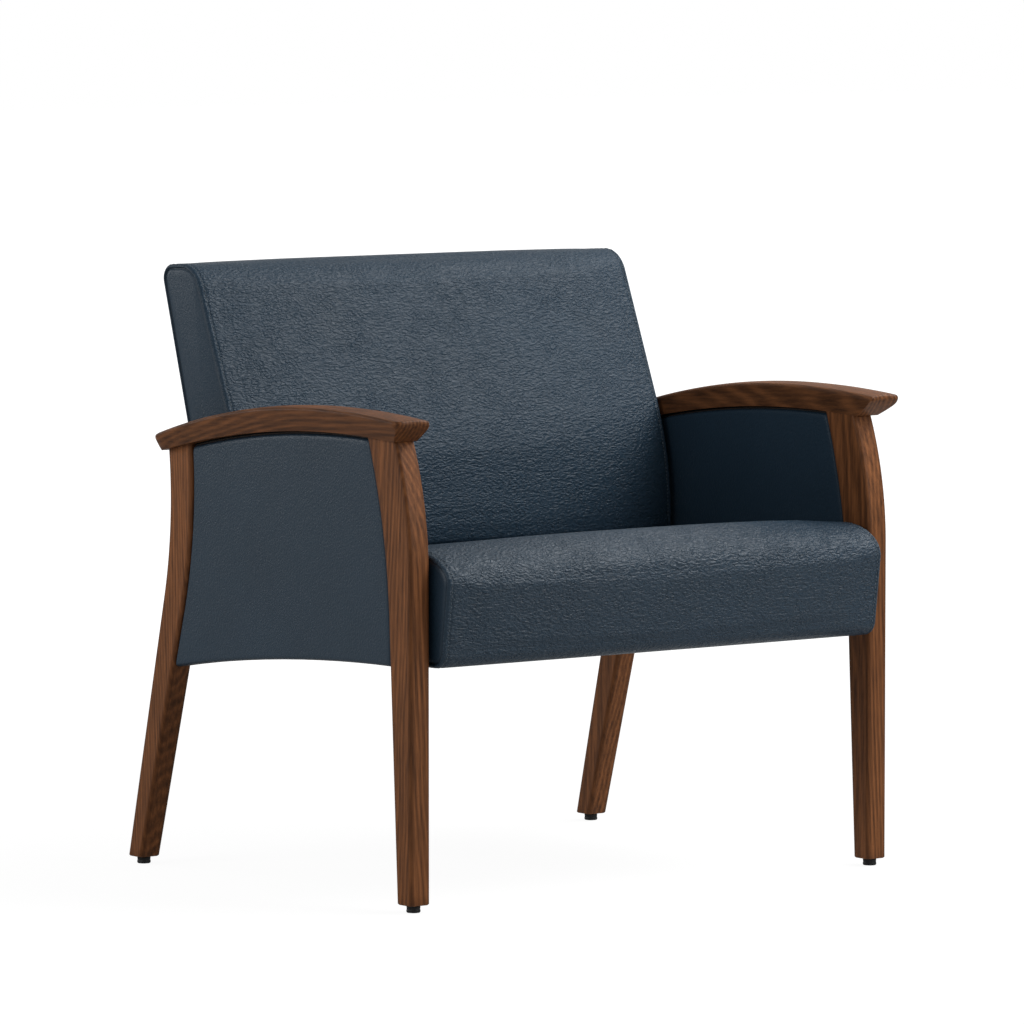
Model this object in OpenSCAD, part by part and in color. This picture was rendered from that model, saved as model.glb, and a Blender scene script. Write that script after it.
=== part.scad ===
// Wide guest chair for clinics: two wooden end frames with curved arm caps and
// upholstered side panels, carrying a boxed seat and a boxed, reclined back.
// Heights are above the floor. Depths are counted from the front foot line, and
// the whole chair is then shifted so that its footprint is centred on the origin.

/* [Overall] */
// Clear width between the two end frames
clear_w = 760; // [700:10:820]
// Height of the arm caps at their crown
arm_h = 665; // [650:5:680]
// Height of the seat at its front edge, at the side seams
seat_h = 480; // [465:5:495]
// Height of the top of the back
back_h = 842; // [820:2:870]
// Distance from the front feet to the rear feet
foot_span = 632; // [620:2:644]

/* [Legs] */
// Thickness of a leg across the chair
leg_t = 33; // [30:1:38]
// Depth of a leg at its foot
foot_d = 32; // [28:1:36]
// Depth of a front leg where its rear edge starts to bow
front_leg_d = 50; // [44:1:54]
// Radius of the long edges of a leg
arris_r = 5; // [3:0.5:7]
// Radius to which the front edge of a front leg bows back
front_bow_r = 480; // [440:10:560]
// Height of the bowed part below the crown of the cap
front_bow_h = 215; // [190:5:230]
// Radius of the bow of the rear edge of a front leg
flare_r = 820; // [740:20:900]
// Height of that bow below the crown of the cap
flare_h = 275; // [255:5:295]
// Splay of the front edge of a rear leg, in degrees
splay_front_angle = 16; // [14:0.5:17]
// Splay of the rear edge of a rear leg, in degrees
splay_rear_angle = 13.5; // [12:0.5:14.5]
// Radius of the front edge of a rear leg where it turns upright
sabre_front_r = 650; // [600:10:700]
// Radius of the rear edge of a rear leg where it turns upright
sabre_rear_r = 600; // [560:10:660]

/* [Arm caps] */
// Width of a cap over its top
cap_w = 58; // [52:1:64]
// Width of a cap over its underside
cap_base_w = 38; // [36:1:42]
// Thickness of a cap at its crown
cap_t = 33; // [30:1:38]
// Radius of the top of a cap in front of its crown
cap_front_r = 1820; // [1600:20:2000]
// Radius of the top of a cap behind its crown
cap_rear_r = 1360; // [1250:10:1500]
// Radius of the underside of a cap
cap_under_r = 1780; // [1650:10:1900]
// Depth of the crown of a cap, from the front foot line
cap_crown_y = 158; // [140:2:170]
// How far the prow of a cap reaches in front of the foot line
cap_nose = 18; // [14:1:24]
// How far the end of a cap reaches behind the rear leg
cap_tail = 5; // [2:1:8]
// Radius of the top edges of a cap
cap_edge_r = 7; // [5:0.5:9]

/* [Side panels] */
// Thickness of the plywood core of a side panel
core_t = 15; // [12:1:18]
// How far the upholstered faces lie behind the faces of the legs
panel_recess = 1.5; // [1:0.5:2.5]
// Height of the lower edge of a panel at the front leg
panel_front_h = 326; // [318:2:332]
// Height of the lower edge of a panel at the rear leg
panel_rear_h = 284; // [270:2:290]
// Rise of the arched lower edge over its chord
panel_arch = 10; // [6:1:14]
// Shadow gap between a panel and its cap
cap_gap = 3; // [2:0.5:5]
// Soft roll of the edge of a panel pad
panel_roll = 5; // [3:0.5:6]

/* [Seat] */
// Height of the underside of the seat
seat_base_h = 326; // [318:2:334]
// Gap between the boxed seat or back and the end frames
side_gap = 5; // [4:0.5:7]
// Overhang of the seat in front of the front foot line
seat_nose = 54; // [48:1:60]
// Distance of the rear face of the seat in front of the rear foot line
seat_back_set = 120; // [112:2:132]
// Fall of the seat top towards the back, as a share of the seat's own height
seat_fall_share = 0.32; // [0.24:0.01:0.35]
// Length of the rounded nose of the seat
nose_run = 75; // [65:1:85]
// Height of the rounded nose of the seat
nose_rise = 41; // [36:1:46]
// Slope of the front of the seat, from its nose to its lower edge
front_rake = 14; // [8:1:18]
// Radius of the lower front edge
lower_edge_r = 22; // [16:1:26]
// Crown of the seat in the middle of its width
seat_crown = 9; // [5:1:12]
// Thickness of the cover
skin = 2; // [1.5:0.25:2.5]

/* [Back] */
// Distance of the front of the back, at its foot, in front of the rear foot line
back_set = 216; // [208:2:224]
// Slope of the upper front of the back, in degrees from upright
recline_front = 22; // [20:0.5:24]
// Slope of the rear face of the back, in degrees from upright
recline_rear = 16.4; // [15.4:0.2:17.4]
// Distance of the rear face of the back, at its foot, in front of the rear foot line
back_rear_set = 130; // [124:2:136]
// Radius of the bowed lower front of the back
lumbar_r = 427; // [390:1:460]
// Radius of the top front edge
back_top_r = 46; // [36:1:54]
// Radius of the top rear edge
back_rear_r = 20; // [14:1:26]
// Crown of the front of the back in the middle of its width
back_crown = 7; // [4:1:10]

/* [Frames] */
// Height of the rails of the seat frame, as a share of the seat's own height
rail_share = 0.36; // [0.32:0.01:0.4]
// Thickness of the rails of the seat and back frames
rail_t = 22; // [18:1:26]
// Thickness of the seat deck
deck_t = 12; // [9:1:15]
// Width of the steel tube under the middle of the deck, as a share of the height of the rails
tube_share = 0.72; // [0.6:0.01:0.85]
// Wall of the steel tube
tube_wall = 2.5; // [2:0.25:3]
// Depth of the stiles of the back frame
stile_d = 30; // [26:1:34]
// Thickness of the board behind the foam of the back
board_t = 7; // [5:1:9]
// Thickness of the board that closes the rear of the back
rear_board_t = 4; // [3:0.5:5]

/* [Fasteners] */
// Diameter of the frame bolts
bolt_d = 8; // [6:1:10]
// Diameter of the dowels
dowel_d = 8; // [6:1:10]
// Length of a dowel
dowel_l = 34; // [30:1:40]

/* [Glides] */
// Diameter of a glide pad
pad_d = 19; // [17:0.5:22]
// Height of a glide pad
pad_h = 10; // [9:0.5:12]
// Diameter of the threaded stem of a glide
stem_d = 8; // [6:1:10]
// Length of that stem
stem_l = 37; // [34:1:42]

/* [Hidden] */

// Running clearance of a shaft in its bore, on the radius
run_fit = 0.05;
// Small gap between pieces that are set against each other
seam_gap = 0.3;
// Overrun of every cut past the face it opens
cut = 1;

wood = [0.33, 0.19, 0.11];
birch = [0.76, 0.63, 0.44];
vinyl = [0.16, 0.22, 0.27];
foam = [0.86, 0.82, 0.68];
steel = [0.62, 0.64, 0.66];
zinc = [0.74, 0.72, 0.62];
black = [0.06, 0.06, 0.065];

half_clear = clear_w / 2;
leg_top_steps = 22;
// Middle of the whole depth, which the frame is centred on
mid_y = (foot_span + foot_d / 2 - seat_nose) / 2;

// Everything is drawn from the front foot line and then centred
module placed() translate([0, -mid_y, 0]) children();

// Surfaces are stacks of closed rings with the same number of points
function centre_of(ring) = [for (k = [0 : 2]) [for (p = ring) p[k]] * [for (p = ring) 1] / len(ring)];
module loft(rings) {
  n = len(rings[0]);
  last = len(rings) - 1;
  walls = [for (i = [0 : last - 1], j = [0 : n - 1])
    each [[i * n + j, (i + 1) * n + (j + 1) % n, i * n + (j + 1) % n],
          [i * n + j, (i + 1) * n + j, (i + 1) * n + (j + 1) % n]]];
  start = (last + 1) * n;
  ends = [for (j = [0 : n - 1])
    each [[start, j, (j + 1) % n], [start + 1, last * n + (j + 1) % n, last * n + j]]];
  polyhedron(concat([for (r = rings) each r], [centre_of(rings[0]), centre_of(rings[last])]),
    concat(walls, ends));
}

// Points of a rounded corner of a flat outline, between two neighbours
function unit(v) = v / norm(v);
function corner(before, at, after, r, steps) =
  let (a = unit(before - at), b = unit(after - at),
       half = acos(a * b) / 2,
       reach = r / tan(half),
       hub = at + unit(a + b) * r / sin(half),
       p = at + a * reach - hub,
       q = at + b * reach - hub,
       turn = 180 - 2 * half,
       side = p[0] * q[1] - p[1] * q[0] > 0 ? 1 : -1)
  [for (k = [0 : steps]) let (t = side * turn * k / steps)
    hub + [p[0] * cos(t) - p[1] * sin(t), p[0] * sin(t) + p[1] * cos(t)]];

// A closed outline moved inwards by t, for outlines drawn anticlockwise
function inset(line, t) = [for (i = [0 : len(line) - 1])
  let (n = len(line), d = unit(line[(i + 1) % n] - line[(i + n - 1) % n]))
  line[i] + t * [-d[1], d[0]]];

// Arc of a large circle, as the drop below its highest point at distance d
function sag(r, d) = r - sqrt(r * r - d * d);

// Top and underside of an arm cap at depth y
cap_under_h = arm_h - cap_t;
cap_under_y = cap_crown_y - cap_nose;
function cap_top(y) = arm_h - sag(y < cap_crown_y ? cap_front_r : cap_rear_r, y - cap_crown_y);
function cap_under(y) = cap_under_h - sag(cap_under_r, y - cap_under_y);

// Edges of the front leg: depth at height z
bow_z = arm_h - front_bow_h;
flare_z = arm_h - flare_h;
front_taper = (front_leg_d - foot_d) / (flare_z - pad_h);
function front_edge(z) = -foot_d / 2 + (z > bow_z ? sag(front_bow_r, z - bow_z) : 0);
function front_rear_edge(z) =
  foot_d / 2 + front_taper * (z - pad_h) + (z > flare_z ? sag(flare_r, z - flare_z) : 0);

// Edges of the rear leg: an upright arc that runs into a straight splay
upright_front_share = 0.58;
upright_rear_share = 0.67;
upright_front_z = arm_h - front_bow_h * upright_front_share;
upright_rear_z = arm_h - front_bow_h * upright_rear_share;
function sabre(z, r, upright, splay) =
  let (low = upright - r * sin(splay))
  z > low ? sag(r, z - upright) : r * (1 - cos(splay)) + (low - z) * tan(splay);
function rear_front_edge(z) = foot_span - foot_d / 2
  - sabre(pad_h, sabre_front_r, upright_front_z, splay_front_angle)
  + sabre(z, sabre_front_r, upright_front_z, splay_front_angle);
function rear_edge(z) = foot_span + foot_d / 2
  - sabre(pad_h, sabre_rear_r, upright_rear_z, splay_rear_angle)
  + sabre(z, sabre_rear_r, upright_rear_z, splay_rear_angle);

// Heights where each edge meets the underside of the cap, found by repeated aim
function meet_front(z, k) = k == 0 ? z : meet_front(cap_under(front_edge(z)), k - 1);
function meet_front_rear(z, k) = k == 0 ? z : meet_front_rear(cap_under(front_rear_edge(z)), k - 1);
function meet_rear_front(z, k) = k == 0 ? z : meet_rear_front(cap_under(rear_front_edge(z)), k - 1);
function meet_rear(z, k) = k == 0 ? z : meet_rear(cap_under(rear_edge(z)), k - 1);
aims = 8;
front_top_z = meet_front(cap_under_h, aims);
front_rear_top_z = meet_front_rear(cap_under_h, aims);
rear_front_top_z = meet_rear_front(cap_under_h, aims);
rear_top_z = meet_rear(cap_under_h, aims);

// Ring of a leg between its front point a and its rear point b, with round arrises
arris_steps = 3;
function leg_ring(a, b) =
  let (d = norm(b - a), u = (b - a) / d,
       flat = [for (c = [[1, 0], [1, 1], [0, 1], [0, 0]], k = [0 : arris_steps])
         let (t = 90 * (k / arris_steps) + (c == [1, 0] ? -90 : c == [1, 1] ? 0 : c == [0, 1] ? 90 : 180))
         [c[0] == 1 ? leg_t - arris_r + arris_r * cos(t) : arris_r + arris_r * cos(t),
          c[1] == 1 ? d - arris_r + arris_r * sin(t) : arris_r + arris_r * sin(t)]])
  [for (p = flat) [p[0], a[0] + u[0] * p[1], a[1] + u[1] * p[1]]];
function mix(a, b, t) = a + (b - a) * t;

module front_leg_blank() loft([for (i = [0 : leg_top_steps])
  let (t = i / leg_top_steps,
       za = mix(pad_h, front_top_z, t),
       zb = mix(pad_h, front_rear_top_z, t))
  leg_ring([front_edge(za), za], [front_rear_edge(zb), zb])]);
module rear_leg_blank() loft([for (i = [0 : leg_top_steps])
  let (t = i / leg_top_steps,
       za = mix(pad_h, rear_front_top_z, t),
       zb = mix(pad_h, rear_top_z, t))
  leg_ring([rear_front_edge(za), za], [rear_edge(zb), zb])]);

// An end frame is drawn for the right side, its inner face at x = 0
module right_end() translate([half_clear, 0, 0]) children();
module left_end() mirror([1, 0, 0]) right_end() children();

// Glide hardware
foot_insert_wall = 2.5;
insert_r = stem_d / 2 + foot_insert_wall;
insert_l = stem_l / 2;
socket_floor_share = 0.3;
socket_floor = pad_h * socket_floor_share;
stem_play = 0.5;
stem_hole_l = stem_l + pad_h;
module foot_bore(y) translate([leg_t / 2, y, pad_h - cut]) {
  cylinder(r = insert_r, h = insert_l + cut, $fn = 48);
  cylinder(r = stem_d / 2 + stem_play, h = stem_hole_l + cut, $fn = 48);
}

// Dowels between the legs and the cap, two to a leg
dowel_set_share = 0.28;
dowel_up_share = 0.45;
dowel_up = dowel_l * dowel_up_share;
front_mid_y = (front_edge(front_top_z) + front_rear_edge(front_rear_top_z)) / 2;
rear_mid_y = (rear_front_edge(rear_front_top_z) + rear_edge(rear_top_z)) / 2;
front_dowel_ys = [for (s = [-1, 1]) front_mid_y
  + s * dowel_set_share * (front_rear_edge(front_rear_top_z) - front_edge(front_top_z))];
rear_dowel_ys = [for (s = [-1, 1]) rear_mid_y
  + s * dowel_set_share * (rear_edge(rear_top_z) - rear_front_edge(rear_front_top_z))];
module cap_dowel(y, grow) translate([leg_t / 2, y, cap_under(y) - (dowel_l - dowel_up) - grow])
  cylinder(r = dowel_d / 2 + (grow > 0 ? run_fit : 0), h = dowel_l + 2 * grow, $fn = 36);

// Dowels between the panel core and the legs
panel_mid_z = (panel_front_h + cap_under_h) / 2;
panel_dowel_zs = [for (s = [-1, 1]) panel_mid_z + s * (cap_under_h - panel_front_h) * dowel_set_share];
module panel_dowel(y, z, grow) translate([leg_t / 2, y - dowel_l / 2 - grow, z])
  rotate([-90, 0, 0]) cylinder(r = dowel_d / 2 + (grow > 0 ? run_fit : 0), h = dowel_l + 2 * grow, $fn = 36);
module panel_dowel_set(grow) for (z = panel_dowel_zs) {
  panel_dowel(front_rear_edge(z), z, grow);
  panel_dowel(rear_front_edge(z), z, grow);
}

// Boxed seat and back: their frames stand inside by the wrap of foam
half_seat = half_clear - side_gap;
seat_back_y = foot_span - seat_back_set;
back_y = foot_span - back_set;
back_rear_y = foot_span - back_rear_set;
wrap = 8;
nose_foam = 36;
rail_x = half_seat - skin - wrap;
rail_z = seat_base_h + skin + seam_gap;
rail_h = rail_share * (seat_h - seat_base_h);
tube_w = tube_share * rail_h;
seat_front_y = nose_foam - seat_nose;
deck_z = rail_z + rail_h;

// The underside of the back follows the seat top, a small gap above it
rest_gap = 1;
seat_crest = nose_run - seat_nose;
seat_fall = seat_fall_share * (seat_h - seat_base_h);
function seat_top(y) = seat_h - seat_fall * max(0, y - seat_crest) / (seat_back_y - seat_crest);
back_foot_z = seat_top(back_y) + rest_gap;
back_heel_z = seat_top(back_rear_y) + rest_gap;
// The back's frame is drawn upright and then reclined about the foot of its rear face
back_span = (back_h - back_foot_z) / cos(recline_rear);
frame_head = 34;
module reclined() translate([0, back_rear_y, back_foot_z]) rotate([-recline_rear, 0, 0]) children();
function reclined_point(y, z) = [back_rear_y + y * cos(recline_rear) + z * sin(recline_rear),
  back_foot_z - y * sin(recline_rear) + z * cos(recline_rear)];
rear_board_y = -skin - seam_gap;
stile_y = rear_board_y - rear_board_t;
board_y = stile_y - stile_d;
stile_bottom = skin + wrap;
stile_top = back_span - frame_head;

// Bolts through the rails and stiles into the end frames, as depth and height
rail_bolt_share = 0.73;
bolt_z = rail_z + rail_h * rail_bolt_share;
leg_bolt_share = 0.64;
leg_bolt_y = mix(front_edge(bolt_z), front_rear_edge(bolt_z), leg_bolt_share);
panel_bolt_shares = [0.46, 0.91];
panel_bolt_ys = [for (s = panel_bolt_shares) s * seat_back_y];
back_bolt_shares = [0.235, 0.305];
back_bolt_zs = [for (s = back_bolt_shares) s * back_span];
back_bolts = [for (z = back_bolt_zs) reclined_point(stile_y - stile_d / 2, z)];
leg_bolts = concat([[leg_bolt_y, bolt_z]], back_bolts);
panel_bolts = [for (y = panel_bolt_ys) [y, bolt_z]];
bolts = concat(leg_bolts, panel_bolts);
bolt_inner_x = rail_x - rail_t;
bolt_end_share = 0.6;
bolt_end_x = half_clear + leg_t * bolt_end_share;
insert_wall = 2;
bush_wall = 6;
bolt_insert_r = bolt_d / 2 + insert_wall;
bush_r = bolt_d / 2 + bush_wall;
core_x = (leg_t - core_t) / 2;
washer_t = 1.6;
head_t_share = 0.6;
head_r_share = 0.8;
head_t = bolt_d * head_t_share;
module across(p, x0, x1, r) translate([x0, p[0], p[1]]) rotate([0, 90, 0])
  cylinder(r = r, h = x1 - x0, $fn = 48);

// Legs
module front_leg() difference() {
  front_leg_blank();
  foot_bore(0);
  for (y = front_dowel_ys) cap_dowel(y, cut);
  for (z = panel_dowel_zs) panel_dowel(front_rear_edge(z), z, cut);
  across(leg_bolts[0], -cut, bolt_end_x - half_clear, bolt_insert_r);
}
module rear_leg() difference() {
  rear_leg_blank();
  foot_bore(foot_span);
  for (y = rear_dowel_ys) cap_dowel(y, cut);
  for (z = panel_dowel_zs) panel_dowel(rear_front_edge(z), z, cut);
  for (p = back_bolts) across(p, -cut, bolt_end_x - half_clear, bolt_insert_r);
}
module front_leg_left() color(wood) placed() left_end() front_leg();
module front_leg_right() color(wood) placed() right_end() front_leg();
module rear_leg_left() color(wood) placed() left_end() rear_leg();
module rear_leg_right() color(wood) placed() right_end() rear_leg();

// Arm cap: sections along the depth, cut off below by the underside and the prow
cap_crown = 1.5;
tip_t = 4;
tail_t = 12;
prow_power = 0.8;
tail_power = 0.5;
flank_power = 1.3;
end_pull_share = 0.7;
cap_front_y = -cap_nose;
cap_rear_y = rear_edge(rear_top_z) + cap_tail;
prow_y = front_edge(front_top_z) - cap_tail;
tail_y = rear_edge(rear_top_z);
function cap_base(y) =
  y < prow_y ? mix(cap_top(y) - tip_t, cap_under(y), pow((y - cap_front_y) / (prow_y - cap_front_y), prow_power))
  : y > tail_y ? mix(cap_top(y) - tail_t, cap_under(y), pow((cap_rear_y - y) / (cap_rear_y - tail_y), tail_power))
  : cap_under(y);
// Outer flank at depth d under the top: a round edge, then a slope towards the base
function flank(d) = cap_w - (cap_w - cap_base_w) * pow(d / cap_t, flank_power)
  - (d < cap_edge_r ? cap_edge_r - sqrt(cap_edge_r * cap_edge_r - pow(cap_edge_r - d, 2)) : 0);
function inner_flank(d) =
  d < cap_edge_r ? cap_edge_r - sqrt(cap_edge_r * cap_edge_r - pow(cap_edge_r - d, 2)) : 0;
flank_shares = [0, 0.03, 0.1, 0.22, 0.45, 0.72, 1];
top_shares = [0.25, 0.5, 0.75];
// The plan is drawn in at both ends, so that the corners of the cap are round
function end_round(y) =
  let (e = min(y - cap_front_y, cap_rear_y - y))
  e < cap_edge_r ? (cap_edge_r - sqrt(cap_edge_r * cap_edge_r - pow(cap_edge_r - e, 2))) * end_pull_share : 0;
function cap_ring(y) =
  let (top = cap_top(y), deep = top - cap_base(y), pull = end_round(y))
  concat(
    [for (s = flank_shares) [max(inner_flank(s * deep), pull), y, top - s * deep]],
    [for (k = [len(flank_shares) - 1 : -1 : 0]) let (s = flank_shares[k])
      [flank(s * deep) - pull, y, top - s * deep]],
    [for (s = top_shares) [mix(flank(0) - pull, max(inner_flank(0), pull), s), y,
      top + cap_crown * (1 - pow(2 * s - 1, 2))]]);
cap_stations = 26;
end_shares = [0, 0.08, 0.25, 0.5, 0.75];
cap_ys = concat(
  [for (s = end_shares) mix(cap_front_y, prow_y, s)],
  [for (i = [0 : cap_stations]) mix(prow_y, tail_y, i / cap_stations)],
  [for (k = [len(end_shares) - 1 : -1 : 0]) mix(cap_rear_y, tail_y, end_shares[k])]);
module arm_cap() difference() {
  loft([for (y = cap_ys) cap_ring(y)]);
  for (y = concat(front_dowel_ys, rear_dowel_ys)) cap_dowel(y, cut);
}
module arm_cap_left() color(wood) placed() left_end() arm_cap();
module arm_cap_right() color(wood) placed() right_end() arm_cap();

// Outline of a side panel, drawn a little inside the legs and the cap
panel_steps = 12;
function arch(y) =
  let (a = [front_rear_edge(panel_front_h), panel_front_h],
       b = [rear_front_edge(panel_rear_h), panel_rear_h],
       t = (y - a[0]) / (b[0] - a[0]))
  mix(a[1], b[1], t) + 4 * panel_arch * t * (1 - t);
function panel_outline(t, gap) =
  let (zf0 = panel_front_h, zf1 = front_rear_top_z - gap,
       zr0 = panel_rear_h, zr1 = rear_front_top_z - gap,
       y0 = front_rear_edge(panel_front_h), y1 = rear_front_edge(panel_rear_h),
       y2 = front_rear_edge(front_rear_top_z), y3 = rear_front_edge(rear_front_top_z))
  inset(concat(
    [for (i = [0 : panel_steps - 1]) let (y = mix(y0, y1, i / panel_steps)) [y, arch(y)]],
    [for (i = [0 : panel_steps - 1]) let (z = mix(zr0, zr1, i / panel_steps)) [rear_front_edge(z), z]],
    [for (i = [0 : panel_steps - 1]) let (y = mix(y3, y2, i / panel_steps)) [y, cap_under(y) - gap]],
    [for (i = [0 : panel_steps - 1]) let (z = mix(zf1, zf0, i / panel_steps)) [front_rear_edge(z), z]]), t);
module upright(x0, x1) translate([x0, 0, 0]) rotate([90, 0, 90]) linear_extrude(x1 - x0) children();
module panel_core() difference() {
  upright(core_x, core_x + core_t) polygon(panel_outline(seam_gap, 0));
  panel_dowel_set(cut);
  for (p = panel_bolts) across(p, core_x - cut, bolt_end_x - half_clear, bolt_insert_r);
}
module panel_core_left() color(birch) placed() left_end() panel_core();
module panel_core_right() color(birch) placed() right_end() panel_core();

// Upholstered face of a panel: a thin pad with rolled edges and a slight crown
pad_crown = 1;
roll_shares = [0, 0.45, 0.8, 1];
face_share = 0.12;
roll_fill_share = 0.96;
function pad_rings(thick) =
  let (edges = [for (s = roll_shares)
         [for (p = panel_outline(2 * seam_gap + panel_roll * (1 - sqrt(1 - s * s * roll_fill_share)), cap_gap))
           [s * (thick - pad_crown), p[0], p[1]]]],
       last = edges[len(edges) - 1],
       c = centre_of(last))
  concat(edges, [[for (p = last) [thick, mix(p[1], c[1], face_share), mix(p[2], c[2], face_share)]]]);
pad_t = core_x - panel_recess;
module panel_pad() loft(pad_rings(pad_t));
module outer_pad() translate([core_x + core_t, 0, 0]) panel_pad();
module inner_pad() difference() {
  translate([core_x, 0, 0]) mirror([1, 0, 0]) panel_pad();
  for (p = panel_bolts) across(p, -cut, core_x + cut, bush_r + seam_gap);
}
module outer_pad_left() color(vinyl) placed() left_end() outer_pad();
module outer_pad_right() color(vinyl) placed() right_end() outer_pad();
module inner_pad_left() color(vinyl) placed() left_end() inner_pad();
module inner_pad_right() color(vinyl) placed() right_end() inner_pad();

// Side profile of the seat, anticlockwise from its lower rear corner, seen from the right
nose_steps = 9;
nose_crown = 4;
seat_rear_r = 14;
function seat_profile() =
  let (front_y = nose_crown - seat_nose, low = seat_base_h,
       toe = [front_y + front_rake, low],
       brow = [front_y, seat_h - nose_rise],
       heel = [seat_back_y, low],
       rear = [seat_back_y, seat_top(seat_back_y)],
       crest_y = front_y + nose_run)
  concat(
    corner(rear, heel, toe, seat_rear_r / 2, 1),
    [for (s = [0.75, 0.5, 0.25]) mix(toe, heel, s)],
    corner(heel, toe, brow, lower_edge_r, 4),
    [for (k = [0 : nose_steps]) let (t = 90 * k / nose_steps)
      [crest_y - nose_run * cos(t), seat_h - nose_rise + nose_rise * sin(t)]],
    [for (s = [0.2, 0.4, 0.6, 0.8]) let (y = mix(crest_y, seat_back_y, s)) [y, seat_top(y)]],
    corner([crest_y, seat_h], rear, heel, seat_rear_r, 4),
    [for (s = [0.35, 0.7]) mix(rear, heel, s)]);
seat_line = [for (i = [len(seat_profile()) - 1 : -1 : 0]) seat_profile()[i]];
// Swell of a boxed cushion across its width: full in the middle, drawn in at the seams
function swell(s) = 1 - pow(abs(s), 3);
function seat_ring(s, x, t) = [for (p = inset(seat_line, t))
  let (up = (p[1] - seat_base_h) / (seat_h - seat_base_h),
       fore = p[0] < seat_crest ? (seat_crest - p[0]) / nose_run : 0,
       aft = p[0] > seat_crest ? min(1, (p[0] - seat_crest) / (back_y - seat_crest)) : 0)
  [x, p[0] - nose_crown * swell(s) * fore,
   p[1] + seat_crown * swell(s) * (1 - aft) * max(0, up * 2 - 1)]];
swell_shares = [-0.98, -0.88, -0.65, -0.35, 0, 0.35, 0.65, 0.88, 0.98];
seam_roll = 4;
side_crown_share = 0.6;
side_crown = side_gap * side_crown_share;
end_shrink_share = 0.4;
function shrunk(ring, share, x) =
  let (c = centre_of(ring)) [for (p = ring) [x, mix(p[1], c[1], share), mix(p[2], c[2], share)]];
module seat_body(t) loft(concat(
  [shrunk(seat_ring(1, -half_seat, t + seam_roll), end_shrink_share, -half_seat - side_crown + t),
   seat_ring(1, -half_seat + t, t + seam_roll)],
  [for (s = swell_shares) seat_ring(s, s * (half_seat - t), t)],
  [seat_ring(1, half_seat - t, t + seam_roll),
   shrunk(seat_ring(1, half_seat, t + seam_roll), end_shrink_share, half_seat + side_crown - t)]));
hem = 28;
module bush_holes(list) for (p = list, s = [-1, 1])
  mirror([s < 0 ? 1 : 0, 0, 0]) across(p, rail_x, half_clear, bush_r + seam_gap);
seat_bolts = concat([leg_bolts[0]], panel_bolts);
module seat_cover() color(vinyl) placed() difference() {
  seat_body(0);
  seat_body(skin);
  translate([-rail_x + hem, seat_front_y + hem, seat_base_h - cut])
    cube([2 * (rail_x - hem), seat_back_y - seat_front_y - 2 * hem, skin + 2 * cut]);
  bush_holes(seat_bolts);
}
frame_back_y = seat_back_y - skin - wrap;
module seat_foam() color(foam) placed() difference() {
  seat_body(skin + seam_gap);
  translate([-rail_x - seam_gap, seat_front_y - seam_gap, seat_base_h - cut])
    cube([2 * (rail_x + seam_gap), frame_back_y - seat_front_y + 2 * seam_gap,
      deck_z + deck_t - seat_base_h + cut]);
  bush_holes(seat_bolts);
}
module dust_cover() color(black) placed()
  translate([-rail_x + hem / 2, seat_front_y + hem / 2, seat_base_h - skin / 2])
    cube([2 * rail_x - hem, seat_back_y - seat_front_y - hem, skin / 2]);

// Seat frame: two side rails, front and rear rails between them, blocks in the corners
rail_len = frame_back_y - seat_front_y;
module seat_side_rail() difference() {
  translate([bolt_inner_x, seat_front_y, rail_z]) cube([rail_t, rail_len, rail_h]);
  for (p = seat_bolts) across(p, bolt_inner_x - cut, rail_x + cut, bolt_d / 2 + 2 * run_fit);
}
module seat_side_rail_left() color(birch) placed() mirror([1, 0, 0]) seat_side_rail();
module seat_side_rail_right() color(birch) placed() seat_side_rail();
module cross_rail(y) translate([-bolt_inner_x, y, rail_z]) cube([2 * bolt_inner_x, rail_t, rail_h]);
module seat_front_rail() color(birch) placed() cross_rail(seat_front_y);
module seat_rear_rail() color(birch) placed() cross_rail(frame_back_y - rail_t);
module seat_centre_tube() color(steel) placed() difference() {
  translate([-tube_w / 2, seat_front_y + rail_t, deck_z - tube_w]) cube([tube_w, rail_len - 2 * rail_t, tube_w]);
  translate([-tube_w / 2 + tube_wall, seat_front_y + rail_t - cut, deck_z - tube_w + tube_wall])
    cube([tube_w - 2 * tube_wall, rail_len - 2 * rail_t + 2 * cut, tube_w - 2 * tube_wall]);
}
block_d = 70;
block_share = 0.45;
module corner_block() linear_extrude(rail_h * block_share) polygon([[0, 0], [block_d, 0], [0, block_d]]);
module corner_blocks() color(birch) placed() for (s = [0, 1]) mirror([s, 0, 0]) {
  translate([-bolt_inner_x, seat_front_y + rail_t, rail_z]) corner_block();
  translate([-bolt_inner_x, frame_back_y - rail_t, rail_z]) mirror([0, 1, 0]) corner_block();
}
vent_r = 12;
vent_xs = [for (s = [-0.75, -0.45, 0.45, 0.75]) s * rail_x];
vent_ys = [for (s = [0.25, 0.5, 0.75]) mix(seat_front_y, frame_back_y, s)];
module seat_deck() color(birch) placed() difference() {
  translate([-rail_x, seat_front_y, deck_z]) cube([2 * rail_x, rail_len, deck_t]);
  for (x = vent_xs, y = vent_ys) translate([x, y, deck_z - cut])
    cylinder(r = vent_r, h = deck_t + 2 * cut, $fn = 48);
}

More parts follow.
